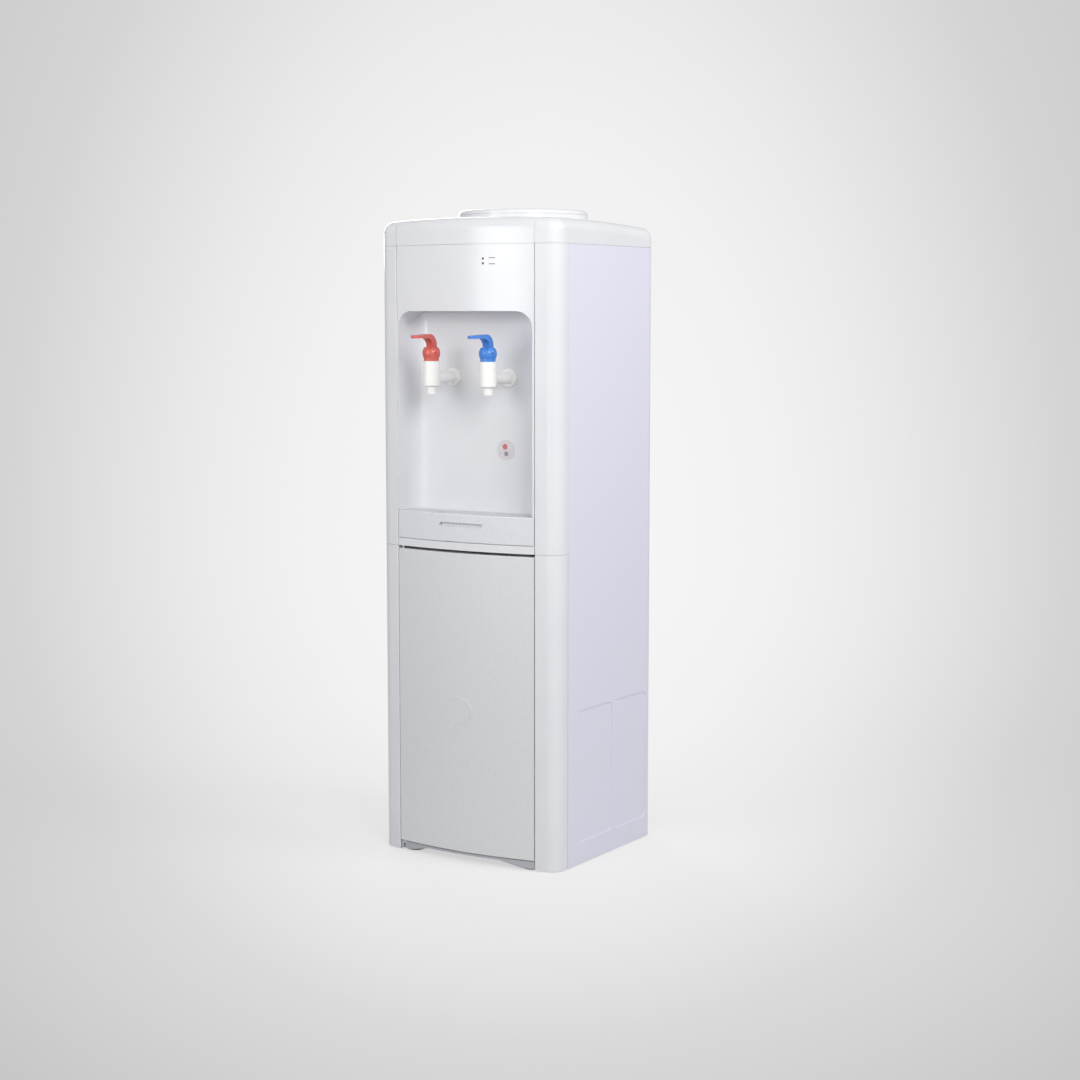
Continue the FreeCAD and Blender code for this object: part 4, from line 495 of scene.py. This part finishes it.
wire_radius = 0.55 * mm
open_turns = 4
steps_a_turn = 24
low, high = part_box("tap_springs")
coil_radius = (high.y - low.y) / 2 - wire_radius
spring_height = high.z - low.z
close_rise = 2 * wire_radius
open_rise = spring_height - 3 * close_rise
for name, side, joint in (
    ("hot_valve_spring", -1, "hot_plunger_lift"), ("cold_valve_spring", 1, "cold_plunger_lift"),
):
    axis_x = side * ((high.x - low.x) / 2 - coil_radius - wire_radius)
    axis_y = (low.y + high.y) / 2
    maker = bmesh.new()
    start = Matrix.Translation((axis_x + coil_radius, axis_y, low.z + wire_radius))
    upright = start @ Matrix.Rotation(math.pi / 2, 4, "X")
    bmesh.ops.create_circle(maker, segments=10, radius=wire_radius, matrix=upright)
    last = maker.verts[:] + maker.edges[:]
    for turns, rise in ((1, close_rise), (open_turns, open_rise), (1, close_rise)):
        steps = turns * steps_a_turn
        last = bmesh.ops.spin(
            maker, geom=last, cent=(axis_x, axis_y, 0.0), axis=(0.0, 0.0, 1.0),
            dvec=(0.0, 0.0, rise / steps), angle=2 * math.pi * turns, steps=steps,
        )["geom_last"]
    bmesh.ops.holes_fill(maker, edges=[edge for edge in maker.edges if edge.is_boundary])
    spring = finish_piece(name, maker, bright_steel, "cabinet")
    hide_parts("tap_springs")
    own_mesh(spring)

# -------------------------------------------------- lamps and their legends
# Two small smoked lenses snapped into the fascia, each with a plain dash
# printed beside it in grey ink.
legend_x = 54.5 * mm
legend_z = (878.6 * mm, 870.2 * mm)
legend_length = 10.5 * mm
legend_height = 1.5 * mm
ink_thickness = 0.12 * mm
outside = 1.0                 # metres, where the rays towards the cooler start
round_share = 0.49            # rounds a bar's ends almost to half its height
edge_share = 0.93             # a dot's upper edge to its lower one

smoked_lens = grained(
    "smoked_acrylic_lens", 0.7, ("#5C3A44", "#6E4A54"), (0.10, 0.18), 0.01,
)
dress(smoked_lens, "indicator_lenses")


def surface_at(node, start, direction):
    """The spot where a ray meets a CAD node, as a matrix whose Z points out of it."""
    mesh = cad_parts[node].data
    faces = [face.vertices for face in mesh.polygons]
    skin = BVHTree.FromPolygons([corner.co for corner in mesh.vertices], faces)
    point, normal = skin.ray_cast(Vector(start), Vector(direction))[:2]
    return Matrix.Translation(point) @ normal.to_track_quat("Z", "Y").to_matrix().to_4x4()


def add_bar(maker, spot, length, height, thickness):
    """A flat bar with round ends, lying on a spot."""
    bar = bmesh.ops.create_cube(maker, size=1.0)["verts"]
    bmesh.ops.scale(maker, vec=(length, height, thickness), verts=bar)
    bmesh.ops.translate(maker, vec=(0.0, 0.0, thickness / 2), verts=bar)
    upright = [
        edge for edge in maker.edges
        if edge.verts[0] in bar and abs(edge.verts[0].co.z - edge.verts[1].co.z) > thickness / 2
    ]
    rounded = bmesh.ops.bevel(
        maker, geom=upright, offset=height * round_share, offset_type="OFFSET", affect="EDGES",
        segments=5, profile=0.5, material=-1,
    )
    whole = list({corner for corner in bar + rounded["verts"] if corner.is_valid})
    bmesh.ops.transform(maker, matrix=spot, verts=whole)


def add_dot(maker, spot, radius, thickness):
    """A round dot of ink, a little thinner at its edge, lying on a spot."""
    lift = Matrix.Translation((0.0, 0.0, thickness / 2))
    bmesh.ops.create_cone(
        maker, cap_ends=True, segments=32, radius1=radius, radius2=radius * edge_share,
        depth=thickness, matrix=spot @ lift,
    )


# Screen-printed ink: matt, with the faint cells of the mesh.
grey_ink = grained(
    "grey_screen_ink", 0.4, ("#8E8F97", "#9B9CA3"), (0.55, 0.70), 0.01,
)
red_ink = grained(
    "red_screen_ink", 0.4, ("#C4706C", "#CD7B77"), (0.50, 0.65), 0.01,
)
white_ink = grained(
    "white_screen_ink", 0.4, ("#E4E4E6", "#EDEDEE"), (0.50, 0.65), 0.01,
)
maker = bmesh.new()
for height in legend_z:
    spot = surface_at("upper_front_panel", (legend_x, -outside, height), (0.0, 1.0, 0.0))
    add_bar(maker, spot, legend_length, legend_height, ink_thickness)
finish_piece("lamp_legends", maker, grey_ink, "cabinet")

# ----------------------------------------------------------- badge in the bay
# A pale disc stuck to the bay's rear wall between the taps, with two plain
# printed spots, red over grey.
badge_spots = (
    ("badge_red_spot", -1.0 * mm, 4.5 * mm, 4.2 * mm, red_ink, "tap_red"),
    ("badge_grey_spot", 1.0 * mm, -5.5 * mm, 3.6 * mm, grey_ink, "black_plastic"),
)
badge_pale = grained(
    "pale_printed_polyester", 3.0, ("#D9D4D9", "#DFDADE"), (0.22, 0.32), 0.02,
)
dress(badge_pale, "bay_badge")
low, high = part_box("bay_badge")
middle = (Vector(low) + Vector(high)) / 2
for name, across, up, radius, ink, slot in badge_spots:
    maker = bmesh.new()
    spot = surface_at("bay_badge", (middle.x + across, -outside, middle.z + up), (0.0, 1.0, 0.0))
    add_dot(maker, spot, radius, ink_thickness)
    finish_piece(name, maker, ink, "cabinet")

# ---------------------------------------------- switches at the cooler's rear
# Two rocker switches, red for heating and green for cooling, moulded in
# polycarbonate. Each has a printed bar for on and a ring for off.
mark_offset = 5.2 * mm
mark_size = 3.6 * mm
mark_width = 0.72 * mm
for name, node, body, slot, colours in (
    ("red", "hot_switch_rocker", "hot_rocker", "rocker_red", ("#A8231C", "#B22B23")),
    ("green", "cold_switch_rocker", "cold_rocker", "rocker_green", ("#1B7440", "#237F49")),
):
    rocker = grained(
        name + "_moulded_polycarbonate", 0.9, colours, (0.18, 0.28), 0.01,
        {"IOR": 1.58},
    )
    dress(rocker, node)
    low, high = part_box(node)
    middle = (Vector(low) + Vector(high)) / 2
    maker = bmesh.new()
    upper = surface_at(node, (middle.x, outside, middle.z + mark_offset), (0.0, -1.0, 0.0))
    add_bar(maker, upper @ Matrix.Rotation(math.pi / 2, 4, "Z"), mark_size, mark_width, ink_thickness)
    lower = surface_at(node, (middle.x, outside, middle.z - mark_offset), (0.0, -1.0, 0.0))
    line = bmesh.ops.create_circle(
        maker, segments=8, radius=mark_width / 2,
        matrix=lower @ Matrix.Translation((mark_size / 2, 0.0, 0.0)) @ Matrix.Rotation(math.pi / 2, 4, "X"),
    )["verts"]
    sides = list({edge for corner in line for edge in corner.link_edges})
    bmesh.ops.spin(
        maker, geom=line + sides, cent=lower.translation, axis=lower.col[2].to_3d(),
        angle=2 * math.pi, steps=32, use_merge=True,
    )
    finish_piece(name + "_switch_marks", maker, white_ink, body)

# ------------------------------------------------------- thermostat's scale
# Black knob with a moulded pointer filled in white, over seven printed dots
# that grow towards the coldest setting.
pointer_length = 8.0 * mm
pointer_width = pointer_length / 6
pointer_relief = 3 * ink_thickness
pointer_rise = 5.6 * mm
scale_radius = 16.5 * mm
scale_dots = 7
scale_start = -135.0          # degrees from the top
scale_sweep = 270.0
first_dot = 0.60 * mm
dot_growth = 0.15 * mm
low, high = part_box("thermostat_knob")
middle = (Vector(low) + Vector(high)) / 2
maker = bmesh.new()
start = (middle.x, outside, middle.z + pointer_rise)
spot = surface_at("thermostat_knob", start, (0.0, -1.0, 0.0))
add_bar(
    maker, spot @ Matrix.Rotation(math.pi / 2, 4, "Z"), pointer_length, pointer_width, pointer_relief
)
finish_piece("thermostat_pointer", maker, white_ink, "thermostat_knob_body")
maker = bmesh.new()
for step in range(scale_dots):
    angle = math.radians(scale_start + scale_sweep * step / (scale_dots - 1))
    across = middle.x + scale_radius * math.sin(angle)
    height = middle.z + scale_radius * math.cos(angle)
    spot = surface_at("rear_panel", (across, outside, height), (0.0, -1.0, 0.0))
    add_dot(maker, spot, first_dot + dot_growth * step, ink_thickness)
finish_piece("thermostat_scale", maker, grey_ink, "cabinet")

# ------------------------------------------------------------- blank plate
# Anodised aluminium plate, bare and brushed, held to the rear panel by a
# rivet at each corner.
plate_x = 98.0 * mm
plate_z = 560.0 * mm
plate_width = 32.0 * mm
plate_height = 50.0 * mm
plate_thickness = 0.8 * mm
plate_corner = 3.0 * mm
rivet_inset = 4.5 * mm
rivet_radius = 1.6 * mm
rivet_height = 0.7 * mm
brushed_plate = grained(
    "brushed_anodised_aluminium", 0.6, ("#B9BBBE", "#CACCCE"), (0.26, 0.40), 0.01,
    {"Metallic": 1.0},
    stretch=(0.05, 1.0, 1.0),
)
maker = bmesh.new()
spot = surface_at("rear_panel", (plate_x, outside, plate_z), (0.0, -1.0, 0.0))
sheet = bmesh.ops.create_cube(maker, size=1.0)["verts"]
bmesh.ops.scale(maker, vec=(plate_width, plate_height, plate_thickness), verts=sheet)
corners = [
    edge for edge in maker.edges if abs(edge.verts[0].co.z - edge.verts[1].co.z) > plate_thickness / 2
]
bmesh.ops.bevel(
    maker, geom=corners, offset=plate_corner, offset_type="OFFSET", affect="EDGES", segments=4, profile=0.5,
    material=-1,
)
bmesh.ops.translate(maker, vec=(0.0, 0.0, plate_thickness / 2), verts=maker.verts[:])
bmesh.ops.transform(maker, matrix=spot, verts=maker.verts[:])
for side in (-1, 1):
    for end in (-1, 1):
        rivet = spot @ Matrix.Translation((
            side * (plate_width / 2 - rivet_inset), end * (plate_height / 2 - rivet_inset), plate_thickness,
        ))
        add_dot(maker, rivet, rivet_radius, rivet_height)
finish_piece("blank_rear_plate", maker, brushed_plate, "cabinet")
